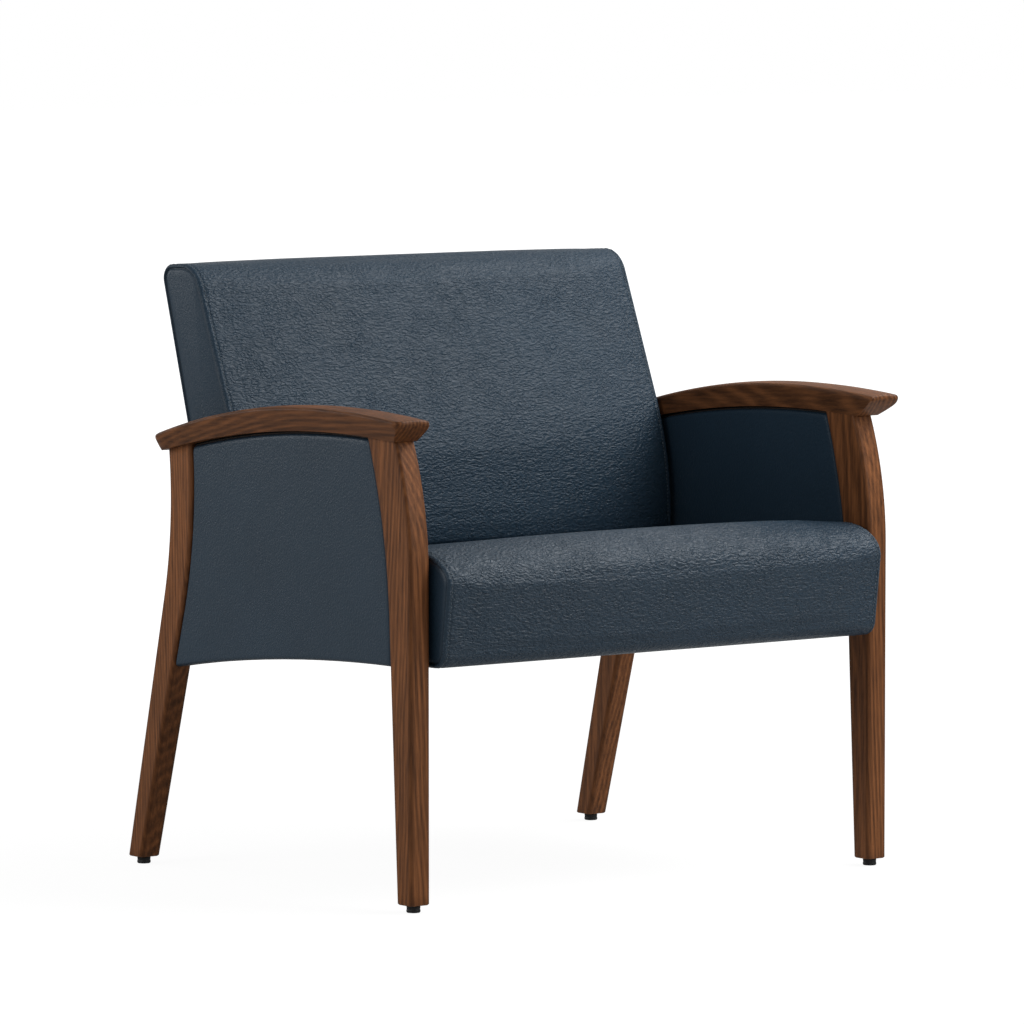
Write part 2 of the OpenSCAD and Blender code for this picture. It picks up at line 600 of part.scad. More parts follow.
// Profile of the back, seen from the right, clockwise from its front foot and then reversed
bow_steps = 6;
bow_start = 24;
foot_r = 11;
heel_r = 8;
function back_front(z) =
  let (z0 = back_foot_z + bow_start, z1 = z0 + lumbar_r * sin(recline_front))
  back_y + (z < z0 ? 0 : z < z1 ? sag(lumbar_r, z - z0)
    : sag(lumbar_r, z1 - z0) + (z - z1) * tan(recline_front));
function back_rear(z) = back_rear_y + (z - back_foot_z) * tan(recline_rear);
top_fall = 4;
function back_profile() =
  let (foot = [back_y, back_foot_z], heel = [back_rear(back_heel_z), back_heel_z],
       top = [back_front(back_h), back_h],
       rear = [back_rear(back_h - top_fall), back_h - top_fall],
       low = back_foot_z + bow_start, bend = low + lumbar_r * sin(recline_front))
  concat(
    corner(heel, foot, [back_y, bend], foot_r, 3),
    [for (i = [1 : bow_steps]) let (z = mix(low, bend, i / bow_steps)) [back_front(z), z]],
    [for (s = [0.3, 0.6]) let (z = mix(bend, back_h - back_top_r, s)) [back_front(z), z]],
    corner([back_front(bend), bend], top, rear, back_top_r, 7),
    corner(top, rear, heel, back_rear_r, 4),
    [for (s = [0.25, 0.5, 0.75]) mix(rear, heel, s)],
    corner(rear, heel, foot, heel_r, 2),
    [mix(heel, foot, 0.5)]);
back_line = [for (i = [len(back_profile()) - 1 : -1 : 0]) back_profile()[i]];
deep_gain = 1.4;
function back_ring(s, x, t) = [for (p = inset(back_line, t))
  let (deep = min(1, max(0, (back_rear(p[1]) - p[0]) / (back_rear_y - back_y) * deep_gain + 1 - deep_gain)),
       high = min(1, max(0, (p[1] - back_foot_z) / back_top_r)))
  [x, p[0] - back_crown * swell(s) * deep * high, p[1]]];
module back_body(t) loft(concat(
  [shrunk(back_ring(1, -half_seat, t + seam_roll), end_shrink_share, -half_seat - side_crown + t),
   back_ring(1, -half_seat + t, t + seam_roll)],
  [for (s = swell_shares) back_ring(s, s * (half_seat - t), t)],
  [back_ring(1, half_seat - t, t + seam_roll),
   shrunk(back_ring(1, half_seat, t + seam_roll), end_shrink_share, half_seat + side_crown - t)]));
module back_cover() color(vinyl) placed() difference() {
  back_body(0);
  back_body(skin);
  bush_holes(back_bolts);
}
module back_foam() color(foam) placed() difference() {
  back_body(skin + seam_gap);
  reclined() translate([-rail_x - seam_gap, board_y - board_t - seam_gap, stile_bottom - back_h])
    cube([2 * (rail_x + seam_gap), back_h, back_h + stile_top - stile_bottom + seam_gap]);
  bush_holes(back_bolts);
}
module back_stile() difference() {
  reclined() translate([bolt_inner_x, stile_y - stile_d, stile_bottom])
    cube([rail_t, stile_d, stile_top - stile_bottom]);
  for (p = back_bolts) across(p, bolt_inner_x - cut, rail_x + cut, bolt_d / 2 + 2 * run_fit);
}
module back_stile_left() color(birch) placed() mirror([1, 0, 0]) back_stile();
module back_stile_right() color(birch) placed() back_stile();
back_rail_share = 0.143;
back_rail_h = back_span * back_rail_share;
module back_rail(z) reclined() translate([-bolt_inner_x, stile_y - stile_d, z])
  cube([2 * bolt_inner_x, stile_d, back_rail_h]);
module back_top_rail() color(birch) placed() back_rail(stile_top - back_rail_h);
module back_bottom_rail() color(birch) placed() back_rail(stile_bottom);
module back_panel(y, t) reclined() translate([-rail_x, y - t, stile_bottom])
  cube([2 * rail_x, t, stile_top - stile_bottom]);
module back_board() color(birch) placed() back_panel(board_y, board_t);
module rear_board() color(birch) placed() back_panel(rear_board_y, rear_board_t);

// Joinery and fasteners, as groups of like pieces
module both_ends() { left_end() children(); right_end() children(); }
module cap_dowels() color(birch) placed() both_ends()
  for (y = concat(front_dowel_ys, rear_dowel_ys)) cap_dowel(y, 0);
module panel_dowels() color(birch) placed() both_ends() panel_dowel_set(0);
module both_sides() for (s = [0, 1]) mirror([s, 0, 0]) children();
module frame_bolts() color(steel) placed() both_sides() for (p = bolts) {
  across(p, bolt_inner_x - washer_t, bolt_end_x - cut, bolt_d / 2);
  across(p, bolt_inner_x - washer_t - head_t, bolt_inner_x - washer_t, bolt_d * head_r_share);
}
module bolt_washers() color(steel) placed() both_sides() for (p = bolts) difference() {
  across(p, bolt_inner_x - washer_t, bolt_inner_x, bolt_d);
  across(p, bolt_inner_x - washer_t - cut, bolt_inner_x + cut, bolt_d / 2 + run_fit);
}
module bush(p, x1) difference() {
  across(p, rail_x, x1, bush_r);
  across(p, rail_x - cut, x1 + cut, bolt_d / 2 + run_fit);
}
module spacer_bushes() color(steel) placed() both_sides() {
  for (p = leg_bolts) bush(p, half_clear);
  for (p = panel_bolts) bush(p, half_clear + core_x);
}
module sleeve(p, x0) difference() {
  across(p, x0, bolt_end_x, bolt_insert_r);
  across(p, x0 - cut, bolt_end_x + cut, bolt_d / 2 + run_fit);
}
module leg_inserts() color(zinc) placed() both_sides() for (p = leg_bolts) sleeve(p, half_clear);
module panel_inserts() color(zinc) placed() both_sides() for (p = panel_bolts) sleeve(p, half_clear + core_x);

// Levelling glides: a moulded pad carried by a threaded stem in a metal insert
foot_x = half_clear + leg_t / 2;
module glide_inserts() color(zinc) placed() for (x = [-foot_x, foot_x], y = [0, foot_span])
  translate([x, y, pad_h]) difference() {
    cylinder(r = insert_r, h = insert_l, $fn = 48);
    translate([0, 0, -cut]) cylinder(r = stem_d / 2 + run_fit, h = insert_l + 2 * cut, $fn = 48);
  }
pad_round_share = 0.18;
pad_round = pad_h * pad_round_share;
module glide_pad() rotate_extrude($fn = 64) difference() {
  union() {
    translate([0, pad_round]) square([pad_d / 2, pad_h - pad_round]);
    square([pad_d / 2 - pad_round, pad_round]);
    translate([pad_d / 2 - pad_round, pad_round]) circle(r = pad_round, $fn = 32);
  }
  translate([-pad_d, -cut]) square([pad_d, pad_h + 2 * cut]);
  translate([-cut, socket_floor]) square([stem_d / 2 + run_fit + cut, pad_h]);
}
module glide_stem() translate([0, 0, socket_floor]) cylinder(r = stem_d / 2, h = stem_l, $fn = 48);
module at_foot(side, y) placed() translate([side * foot_x, y, 0]) children();
module glide_pad_front_left() color(black) at_foot(-1, 0) glide_pad();
module glide_pad_front_right() color(black) at_foot(1, 0) glide_pad();
module glide_pad_rear_left() color(black) at_foot(-1, foot_span) glide_pad();
module glide_pad_rear_right() color(black) at_foot(1, foot_span) glide_pad();
module glide_stem_front_left() color(steel) at_foot(-1, 0) glide_stem();
module glide_stem_front_right() color(steel) at_foot(1, 0) glide_stem();
module glide_stem_rear_left() color(steel) at_foot(-1, foot_span) glide_stem();
module glide_stem_rear_right() color(steel) at_foot(1, foot_span) glide_stem();

front_leg_left();
front_leg_right();
rear_leg_left();
rear_leg_right();
arm_cap_left();
arm_cap_right();
panel_core_left();
panel_core_right();
outer_pad_left();
outer_pad_right();
inner_pad_left();
inner_pad_right();
seat_front_rail();
seat_rear_rail();
seat_side_rail_left();
seat_side_rail_right();
seat_centre_tube();
corner_blocks();
seat_deck();
seat_foam();
seat_cover();
dust_cover();
back_stile_left();
back_stile_right();
back_top_rail();
back_bottom_rail();
back_board();
rear_board();
back_foam();
back_cover();
cap_dowels();
panel_dowels();
frame_bolts();
bolt_washers();
spacer_bushes();
leg_inserts();
panel_inserts();
glide_inserts();
glide_pad_front_left();
glide_pad_front_right();
glide_pad_rear_left();
glide_pad_rear_right();
glide_stem_front_left();
glide_stem_front_right();
glide_stem_rear_left();
glide_stem_rear_right();
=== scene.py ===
import math
import bpy
import numpy as np
from mathutils import Matrix, Vector


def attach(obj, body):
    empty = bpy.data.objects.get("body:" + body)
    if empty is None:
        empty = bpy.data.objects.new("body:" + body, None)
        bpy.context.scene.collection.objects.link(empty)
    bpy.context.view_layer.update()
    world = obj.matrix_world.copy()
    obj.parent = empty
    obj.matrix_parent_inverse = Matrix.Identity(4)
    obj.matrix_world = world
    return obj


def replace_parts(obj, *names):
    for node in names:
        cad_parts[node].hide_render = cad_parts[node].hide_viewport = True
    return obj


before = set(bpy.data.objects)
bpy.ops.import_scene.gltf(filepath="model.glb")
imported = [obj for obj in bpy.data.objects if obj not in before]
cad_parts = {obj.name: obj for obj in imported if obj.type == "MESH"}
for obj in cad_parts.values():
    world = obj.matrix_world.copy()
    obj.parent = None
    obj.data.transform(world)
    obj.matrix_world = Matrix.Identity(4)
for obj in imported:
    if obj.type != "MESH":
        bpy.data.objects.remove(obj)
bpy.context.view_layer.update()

# %% [markdown]
# A wide guest chair for heavy sitters: two sawn end frames of stained wood, each with a padded
# panel, carry a boxed seat and a boxed, reclined back. The engineering model is already loaded as a
# fixed frame. This script dresses it: wood where the frame is wood, padded covers where it is soft,
# and a studio around it. Every shape is worked out in millimetres from the same sizes as the frame,
# with the depth counted from the line through the front feet, and is turned into metres at the end.

# %% [markdown]
# Each shape below is a grid of points: rows are stations along the piece, columns go round it. One
# helper joins the grid into quads, closes both ends with a fan and turns the faces outwards. Whole
# arrays keep this exact and quick.

# %% Grids of points become meshes
foot_line = 297

def sag(radius, reach):
    """Drop of a circle of this radius at a distance from its highest point"""
    return radius - np.sqrt(np.maximum(radius * radius - reach * reach, 0))

def blend(a, b, t):
    """Straight blend from a to b as t goes from 0 to 1"""
    return a + (b - a) * t

def outward(points, faces):
    """Signed volume as a sum of tetrahedra: where it is negative, every face is turned round"""
    corners = points[faces]
    first, second, third = corners[:, 0], corners[:, 1], corners[:, 2]
    volume = np.einsum("ij,ij->i", first, np.cross(second, third)).sum()
    if faces.shape[1] == 4:
        volume += np.einsum("ij,ij->i", first, np.cross(third, corners[:, 3])).sum()
    return volume > 0

def to_metres(points):
    """Depth is moved to the middle of the chair, then millimetres become metres"""
    return (points - [0, foot_line, 0]) * 0.001

def add(name, data):
    """A new object in the scene"""
    piece = bpy.data.objects.new(name, data)
    bpy.context.scene.collection.objects.link(piece)
    return piece

def build(name, points, quads, triangles, material, sharp, marks=None):
    """Object with its points in place, smooth shading and named numbers on its points"""
    mesh = bpy.data.meshes.new(name)
    faces = [list(map(int, face)) for face in quads] + [list(map(int, face)) for face in triangles]
    mesh.from_pydata(to_metres(points).tolist(), [], faces)
    for label, values in (marks or {}).items():
        layer = mesh.attributes.new(label, "FLOAT", "POINT")
        layer.data.foreach_set("value", np.asarray(values, dtype=np.float32).ravel())
    mesh.shade_smooth()
    if sharp:
        mesh.set_sharp_from_angle(angle=math.radians(sharp))
    mesh.update()
    mesh.materials.append(material)
    return add(name, mesh)

def tube_faces(rows, columns):
    """Quads of a grid whose columns close on themselves, and a fan over each open end"""
    i, j = np.meshgrid(np.arange(rows - 1), np.arange(columns), indexing="ij")
    right = (j + 1) % columns
    quads = np.stack([i * columns + j, i * columns + right, (i + 1) * columns + right,
                      (i + 1) * columns + j], axis=-1).reshape(-1, 4)
    ring = np.arange(columns)
    after = (ring + 1) % columns
    low, high = rows * columns, rows * columns + 1
    last = (rows - 1) * columns
    fans = np.concatenate([np.stack([np.full(columns, low), after, ring], axis=-1),
                           np.stack([np.full(columns, high), last + ring, last + after], axis=-1)])
    return quads, fans

def tube(name, rings, material, sharp, marks=None, mirrored=False):
    """A closed body of rings in rows, with the middle of each end ring as its fan's centre"""
    rings = np.array(rings, dtype=float)
    if mirrored:
        rings[..., 0] *= -1
    rows, columns = rings.shape[:2]
    ends = [rings[0].mean(axis=0), rings[-1].mean(axis=0)]
    points = np.concatenate([rings.reshape(-1, 3), ends])
    quads, fans = tube_faces(rows, columns)
    if not outward(points, quads):
        quads, fans = quads[:, ::-1], fans[:, ::-1]
    if marks:
        marks = {k: np.concatenate([np.ravel(v), [0, 0]]) for k, v in marks.items()}
    piece = build(name, points, quads, fans, material, sharp, marks)
    print(name, len(points), "points,", 2 * len(quads) + len(fans), "triangles")
    return piece

# %% [markdown]
# Shader maths reads best as ordinary expressions. A small class wraps one output of a node: adding
# or multiplying two of them adds the Math node, and one method makes any other node, first with its
# settings and then with the values or links of its sockets.

# %% A socket that takes part in sums
class Wire:
    """One output of a node, which can stand in sums"""
    def __init__(self, tree, socket):
        self.tree, self.socket = tree, socket

    def make(self, kind, settings=None, sockets=None, output=0):
        """A new node with these settings and inputs, as a wire from one of its outputs"""
        node = self.tree.nodes.new(kind)
        for key, value in (settings or {}).items():
            setattr(node, key, value)
        for key, value in (sockets or {}).items():
            if isinstance(value, Wire):
                self.tree.links.new(value.socket, node.inputs[key])
            else:
                node.inputs[key].default_value = value
        return Wire(self.tree, node.outputs[output])

    def math(self, operation, *values):
        return self.make("ShaderNodeMath", {"operation": operation}, dict(enumerate(values)))

    # the right-hand forms serve a plain number on the left of the sign
    def __add__(self, other): return self.math("ADD", self, other)
    def __radd__(self, other): return self.math("ADD", other, self)
    def __sub__(self, other): return self.math("SUBTRACT", self, other)
    def __rsub__(self, other): return self.math("SUBTRACT", other, self)
    def __mul__(self, other): return self.math("MULTIPLY", self, other)
    def __rmul__(self, other): return self.math("MULTIPLY", other, self)
    def __pow__(self, other): return self.math("POWER", self, other)

    def clamp(self, low=0, high=1):
        return self.math("MAXIMUM", self.math("MINIMUM", self, high), low)

    def stretch(self, factors, turn=(0, 0, 0), shift=(0, 0, 0)):
        """Position turned, scaled and moved, so that a pattern can run along a piece"""
        return self.make("ShaderNodeMapping", {"vector_type": "POINT"},
                         {"Vector": self, "Location": shift, "Rotation": turn, "Scale": factors})

    def noise(self, scale, detail=2, rough=0.5, distortion=0):
        return self.make("ShaderNodeTexNoise", {"noise_dimensions": "3D"},
                         {"Vector": self, "Scale": scale, "Detail": detail, "Roughness": rough,
                          "Distortion": distortion})

    def axis(self, letter):
        return self.make("ShaderNodeSeparateXYZ", None, {"Vector": self}, letter)

    def mix(self, low, high):
        """Colour that runs from low to high as this value goes from 0 to 1"""
        return self.make("ShaderNodeMix", {"data_type": "RGBA"}, {0: self, 6: low, 7: high}, 2)

def linear(red, green, blue):
    """Screen colour of 0 to 255 as the linear colour that Blender mixes"""
    values = np.array([red, green, blue]) / 255
    values = np.where(values <= 0.04045, values / 12.92, ((values + 0.055) / 1.055) ** 2.4)
    return (*map(float, values), 1)

def shade_of(colour, share):
    """The screen colour, darker or lighter by this factor"""
    return linear(*(v * share for v in colour))

def finish_of(name):
    """A new material, with its position and its surface shader"""
    material = bpy.data.materials.new(name)
    material.use_nodes = True
    tree = material.node_tree
    shader = tree.nodes["Principled BSDF"]
    coordinates = tree.nodes.new("ShaderNodeTexCoord")
    return material, Wire(tree, coordinates.outputs["Object"]), shader

def lead(value, shader, socket):
    """Links a worked-out value to a socket of the surface shader"""
    value.tree.links.new(value.socket, shader.inputs[socket])

def marked(place, name):
    """Number that the mesh carries on its points under this name"""
    return place.make("ShaderNodeAttribute", {"attribute_name": name}, None, "Fac")

def surface(shader, colour, rough, height, strength, distance, specular=0.5):
    """Colour, roughness and relief of a skin, and how strongly it mirrors"""
    relief = height.make("ShaderNodeBump", None, {"Strength": strength, "Distance": distance,
                                                  "Height": height}, "Normal")
    lead(colour, shader, "Base Color")
    lead(rough, shader, "Roughness")
    lead(relief, shader, "Normal")
    shader.inputs["Specular IOR Level"].default_value = specular

# %% [markdown]
# The wood is an open-grained hardwood with a brown stain. Under the lacquer are three things to
# see: growth rings, which show as wide soft bands on a sawn face and as flames where the face cuts
# them at a slant, fine fibres along the grain, and short dark pores. A block of rings in space,
# turned so that the grain runs along each piece, gives bands, flames and end grain at once.

# %% Stained wood
ring_gap = 0.0062
wood_light, wood_dark = (150, 95, 56), (74, 44, 24)

def stained_wood(name, grain, tilt, shift, tone=1, figure=0.32):
    """Rings are circles about an axis along the grain, and slow noise bends their distance"""
    material, place, shader = finish_of(name)
    turn = {"up": (0, 0, 0), "along": (math.radians(90), 0, 0)}[grain]
    block = place.stretch((1, 1, 1), turn).stretch((1, 1, 1), tilt, shift)
    slow = block.stretch((1, 1, 0.16)).noise(14, 2, 0.5)
    across, deep = block.axis("X"), block.axis("Y")
    reach = (across * across + deep * deep) ** 0.5 + slow * 0.030
    wave = reach.math("SINE", reach * (2 * math.pi / ring_gap))
    streak = block.stretch((1, 1, 0.045)).noise(230, 3, 0.6)
    ring = (wave * (0.35 + streak * 0.35) + 0.5) ** 1.6
    fibre = block.stretch((1, 1, 0.03)).noise(900, 2, 0.6)
    pore = (block.stretch((1, 1, 0.06)).noise(1500, 1, 0.5) * 6 - 3.75).clamp()
    patch = block.stretch((1, 1, 0.4)).noise(9, 1)
    light, dark = shade_of(wood_light, tone), shade_of(wood_dark, tone)
    grade = (0.46 + (ring - 0.42) * figure + (streak - 0.5) * 1.4 + (fibre - 0.5) * 0.6
             + (patch - 0.5) * 0.5).clamp()
    body = grade.mix(dark, light)
    body = (pore * 0.55).mix(body, dark)
    # Painted shade: the rounded arrises, and a band under the cap's top edge, darken towards the
    # dark grain colour
    body = (marked(place, "arris") * 0.38).mix(body, dark)
    surface(shader, body, (0.40 + fibre * 0.16 + pore * 0.12).clamp(),
            fibre * 0.5 + streak * 0.5 - pore * 0.8, 0.22, 0.0006, 0.12)
    shader.inputs["Coat Weight"].default_value = 0.04
    shader.inputs["Coat Roughness"].default_value = 0.30
    return material

wood_upright = stained_wood("wood_upright", "up", (0.035, 0.05, 0), (0.46, 0.03, 0))
wood_front = stained_wood("wood_front", "up", (-0.02, 0.045, 0.3), (0.12, 0.07, 0))
wood_cap = stained_wood("wood_cap", "along", (0.05, -0.07, 0), (0.05, 0.60, 0), 0.87, 0.42)

# %% [markdown]
# The covers are coated healthcare fabric: a soft vinyl with a fine creased grain that runs across
# the chair. Noise drawn out along the width gives creases that lie sideways. Steepening it about
# its middle value makes narrow creases with flat skin between them, and a finer noise adds the
# pebbles. The gloss is broken by the same pattern, so highlights have ragged edges. One roll of
# vinyl covers the whole chair: the panels are stretched flatter than the cushions.

# %% Healthcare vinyl
vinyl_blue = (36, 53, 67)

def vinyl(name, crease, deep, gloss, rough=0.36):
    """Creases are a drawn-out noise, steepened about its middle, under a finer pebbled skin"""
    material, place, shader = finish_of(name)
    bent = place.noise(24, 1)
    sideways = place.stretch((0.40, 1, 1)).noise(310, 1.8, 0.5, 0.5)
    slanted = place.stretch((0.55, 1, 1), (0, 0.4, 0.3)).noise(350, 1.6, 0.5, 0.4)
    depth = ((place.noise(17, 1) - 0.30) * 2.2).clamp(0.72, 1)
    choice = ((bent - 0.42) * 5).clamp()
    crest = sideways * choice + slanted * (1 - choice)
    flat, seam = marked(place, "panel"), marked(place, "seam")
    ridge = (((crest - 0.5) * 3.2).clamp(-0.5, 0.5) * depth * (1 - flat * 0.88)) + 0.5
    pebble = place.noise(760, 1, 0.5)
    cloud = place.noise(9, 2, 0.5)
    # Tone: a slow cloud of real mottling, and painted shade that darkens the colour in the hollows
    # of the creases and pebbles
    tone = (0.5 + (cloud - 0.5) * 0.4 + (ridge - 0.5) * 0.22 + (pebble - 0.5) * 0.18).clamp()
    colour = tone.mix(shade_of(vinyl_blue, 0.86), shade_of(vinyl_blue, 1.14))
    # Painted shade: the seam mark darkens the colour towards a quarter of the vinyl's, in the
    # groove by the seam roll and in the stitch channel
    surface(shader, (seam * 0.45).mix(colour, shade_of(vinyl_blue, 0.25)),
            (rough + (cloud - 0.5) * 0.08 + (1 - ridge) * 0.10).clamp(),
            ridge + pebble * 0.14, crease, deep, gloss)
    return material

vinyl_wrap = vinyl("vinyl_wrap", 0.9, 0.0015, 0.17, 0.33)
vinyl_seat = vinyl("vinyl_seat", 1, 0.0020, 0.23, 0.30)
vinyl_flat = vinyl("vinyl_flat", 0.22, 0.0015, 0.25)
vinyl_inside = vinyl("vinyl_inside", 0.30, 0.0015, 0.14)

# %% [markdown]
# Each leg is band-sawn from a plank 33 mm thick, so its two broad faces are flat and its narrow
# faces follow the drawn curves: the front leg bows back under the arm, and the rear leg is a sabre
# that runs from an upright top into a straight splay. A router rounds the four arrises. The rings
# run from foot to cap, and each ring is a rounded rectangle between the front and the rear curve.

# %% Curves of the legs
clear_half, leg_thick, foot_deep, arris = 380, 33, 32, 5
arm_high, cap_thick, pad_high, foot_span = 665, 33, 10, 632
crown_deep, under_deep = 158, 140
crown_fore, crown_aft, under_round = 1820, 1360, 1780
bow_high, bow_round, taper, flare_from, flare_round = 215, 480, 18 / 380, 390, 820

def cap_top(y):
    """Two arcs that share their highest point, the one behind it with the smaller radius"""
    reach = y - crown_deep
    return arm_high - np.where(reach < 0, sag(crown_fore, reach), sag(crown_aft, reach))

def cap_under(y):
    """Underside of the cap, one arc"""
    return arm_high - cap_thick - sag(under_round, y - under_deep)

def front_edge(z):
    """Upright, then an arc that leans back over the last 215 mm"""
    over = z - (arm_high - bow_high)
    return -foot_deep / 2 + np.where(over > 0, sag(bow_round, over), 0)

def front_rear_edge(z):
    """A straight taper of 18 mm over 380 mm, then an arc that flares towards the cap"""
    over = z - flare_from
    return foot_deep / 2 + taper * (z - pad_high) + np.where(over > 0, sag(flare_round, over), 0)

def sabre(z, radius, upright, degrees):
    """An arc from upright down to the splay angle, then a straight line at that angle"""
    angle = math.radians(degrees)
    low = upright - radius * math.sin(angle)
    return np.where(z > low, sag(radius, z - upright),
                    radius * (1 - math.cos(angle)) + (low - z) * math.tan(angle))

sabre_front = (650, arm_high - bow_high * 0.58, 16)
sabre_rear = (600, arm_high - bow_high * 0.67, 13.5)

def rear_front_edge(z):
    """Front curve of the rear leg, moved so that it ends at the front of the foot"""
    return foot_span - foot_deep / 2 - sabre(pad_high, *sabre_front) + sabre(z, *sabre_front)

def rear_edge(z):
    """Rear curve of the rear leg, which ends at the rear of the foot"""
    return foot_span + foot_deep / 2 - sabre(pad_high, *sabre_rear) + sabre(z, *sabre_rear)

def meets_cap(edge):
    """Height where a curve meets the underside of the cap, by aiming at it again and again"""
    z = arm_high - cap_thick
    for _ in range(8):
        z = float(cap_under(edge(z)))
    return z

print("legs meet the cap at", [round(meets_cap(e), 1) for e in
                               (front_edge, front_rear_edge, rear_front_edge, rear_edge)])

# %% Rings of a sawn leg
def rounded_box(width, depth, radius, steps=6, support=1.6):
    """Corners are quarter circles, with a point beside each end so that the flats stay flat"""
    depth = np.asarray(depth, dtype=float)[:, None]
    angles = np.linspace(0, 90, steps)
    x, y, round_share = [], [], []
    for cx, cy, start in ((1, 0, -90), (1, 1, 0), (0, 1, 90), (0, 0, 180)):
        t = np.radians(start + angles)[None, :]
        arc_x = (width - radius if cx else radius) + radius * np.cos(t) + 0 * depth
        arc_y = (depth - radius if cy else radius + 0 * depth) + radius * np.sin(t)
        lead_in, lead_out = np.radians(start - 90), np.radians(start + 180)
        x += [arc_x[:, :1] + support * np.cos(lead_in), arc_x,
              arc_x[:, -1:] + support * np.cos(lead_out)]
        y += [arc_y[:, :1] + support * np.sin(lead_in), arc_y,
              arc_y[:, -1:] + support * np.sin(lead_out)]
        round_share += [0, *([1] * steps), 0]
    return np.concatenate(x, axis=1), np.concatenate(y, axis=1), np.array(round_share)

leg_rings, foot_chamfer, foot_lift = 64, 1.4, 0.25

def leg_body(name, front, rear, material, left):
    """Each ring lies on the line from a point of the front curve to one of the rear curve"""
    share = np.linspace(0, 1, leg_rings) ** 0.9
    share = np.concatenate([[0], share[1:2] * 0.12, share[1:]])
    low, high = (blend(pad_high, meets_cap(edge), share) for edge in (front, rear))
    a, b = np.stack([front(low), low], axis=1), np.stack([rear(high), high], axis=1)
    depth = np.linalg.norm(b - a, axis=1)
    along = (b - a) / depth[:, None]
    chamfer = np.zeros((len(share), 1))
    chamfer[0] = foot_chamfer
    x, y, round_share = rounded_box(leg_thick, depth, arris)
    middle = depth[:, None] / 2
    x = leg_thick / 2 + (x - leg_thick / 2) * (1 - chamfer / (leg_thick / 2))
    y = middle + (y - middle) * (1 - chamfer / middle)
    rings = np.stack([clear_half + x, a[:, :1] + along[:, :1] * y, a[:, 1:] + along[:, 1:] * y],
                     axis=-1)
    rings[0, :, 2] += foot_lift
    # The arris mark paints shade onto the rounded corners of each ring
    marks = {"arris": np.broadcast_to(round_share, x.shape)}
    piece = tube(name, rings, material, 50, marks, left)
    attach(piece, "chair")
    return piece

sides = (("left", True), ("right", False))
for side, left in sides:
    for leg, front, rear, wood in (("front_leg_", front_edge, front_rear_edge, wood_front),
                                   ("rear_leg_", rear_front_edge, rear_edge, wood_upright)):
        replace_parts(leg_body(leg + side + "_wood", front, rear, wood, left), leg + side)

# %% [markdown]
# The arm cap is one shaped plank laid over both legs. Its top is gently crowned and arched from
# front to back, the inner edge stands flush with the legs, and the outer flank slopes in to a
# narrower base, which leaves a shadow over the panel. It is lofted from cross sections along the
# depth: each is the top line, the flank that falls away from it, and the flat underside.

# %% Arm caps
cap_wide, cap_base, cap_round, rim_round, end_round = 58, 38, 7, 2.6, 13
crown_rise, cap_front = 1.5, under_deep - crown_deep
prow_edge, tail_edge = 4, 12
rear_meet, front_meet = meets_cap(rear_edge), meets_cap(front_edge)
tail = float(rear_edge(rear_meet))
cap_rear, prow = tail + 5, float(front_edge(front_meet)) - 5

def quarter(d, radius):
    """Set-back of a round edge at distance d from its start, none past the radius"""
    d = np.minimum(d, radius)
    return radius - np.sqrt(np.maximum(radius ** 2 - (radius - d) ** 2, 0))

def cap_foot(y):
    """Underside: the arc, with a prow that sweeps up in front and a short tail behind"""
    nose = np.clip((y - cap_front) / (prow - cap_front), 0, 1) ** 0.8
    end = np.clip((cap_rear - y) / (cap_rear - tail), 0, 1) ** 0.5
    behind = np.where(y > tail, blend(cap_top(y) - tail_edge, cap_under(y), end), cap_under(y))
    return np.where(y < prow, blend(cap_top(y) - prow_edge, cap_under(y), nose), behind)

def cap_body(name, left):
    """Flank at depth d below the top: width less 20 mm times the depth share to the power 1.3"""
    y = np.concatenate([blend(cap_front, prow, np.linspace(0, 1, 14)[:-1] ** 1.5),
                        np.linspace(prow, tail, 70),
                        blend(cap_rear, tail, np.linspace(0, 1, 10)[:-1] ** 1.5)[::-1]])[:, None]
    away = np.minimum(y - cap_front, cap_rear - y)
    top = cap_top(y) - quarter(away, rim_round)
    deep = top - cap_foot(y)
    pull, swing = quarter(away, cap_round) * 0.7, quarter(away, end_round) * 0.8
    down = np.concatenate([np.linspace(0, 1, 8) ** 2 * 0.22, np.linspace(0.3, 1, 8)])[None, :]
    d = down * deep
    inner = np.maximum(quarter(d, cap_round), pull)
    lean = (cap_wide - cap_base) * (d / cap_thick) ** 1.3
    outer = cap_wide - lean - quarter(d, cap_round) - swing
    over = np.linspace(0, 1, 14)[None, 1:-1]
    over_x = blend(outer[:, :1], inner[:, :1], over)
    over_z = top + crown_rise * (1 - (2 * over - 1) ** 2)
    low = np.array([[0.25, 0.5, 0.75]])
    low_x, low_z = blend(inner[:, -1:], outer[:, -1:], low), (top - deep) + 0 * low
    x = np.concatenate([inner, low_x, outer[:, ::-1], over_x], axis=1)
    z = np.concatenate([top - d, low_z, (top - d)[:, ::-1], over_z], axis=1)
    # Painted shade: a band on both flanks just under the round top edge, carried as the arris mark
    edge = np.exp(-((down - 0.1) / 0.1) ** 2)
    edge_shade = np.concatenate([edge, 0 * low, edge[:, ::-1], 0 * over], axis=1)
    rings = np.stack([clear_half + x, y + 0 * x, z], axis=-1)
    piece = tube(name, rings, wood_cap, 42, {"arris": edge_shade + 0 * x}, left)
    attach(piece, "chair")
    return piece

for side, left in sides:
    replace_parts(cap_body("arm_cap_" + side + "_wood", left), "arm_cap_" + side)

# %% [markdown]
# A side panel is a plywood core with a thin padded face on each side. The fabric is pulled over the
# pad and tacked behind, so the face is nearly flat, its edge rolls back to the core, and it stops
# just short of the wood. The outline is the space between the legs under the cap, with an arched
# lower edge. Rings of that outline, drawn in step by step, give the roll and the slight crown.

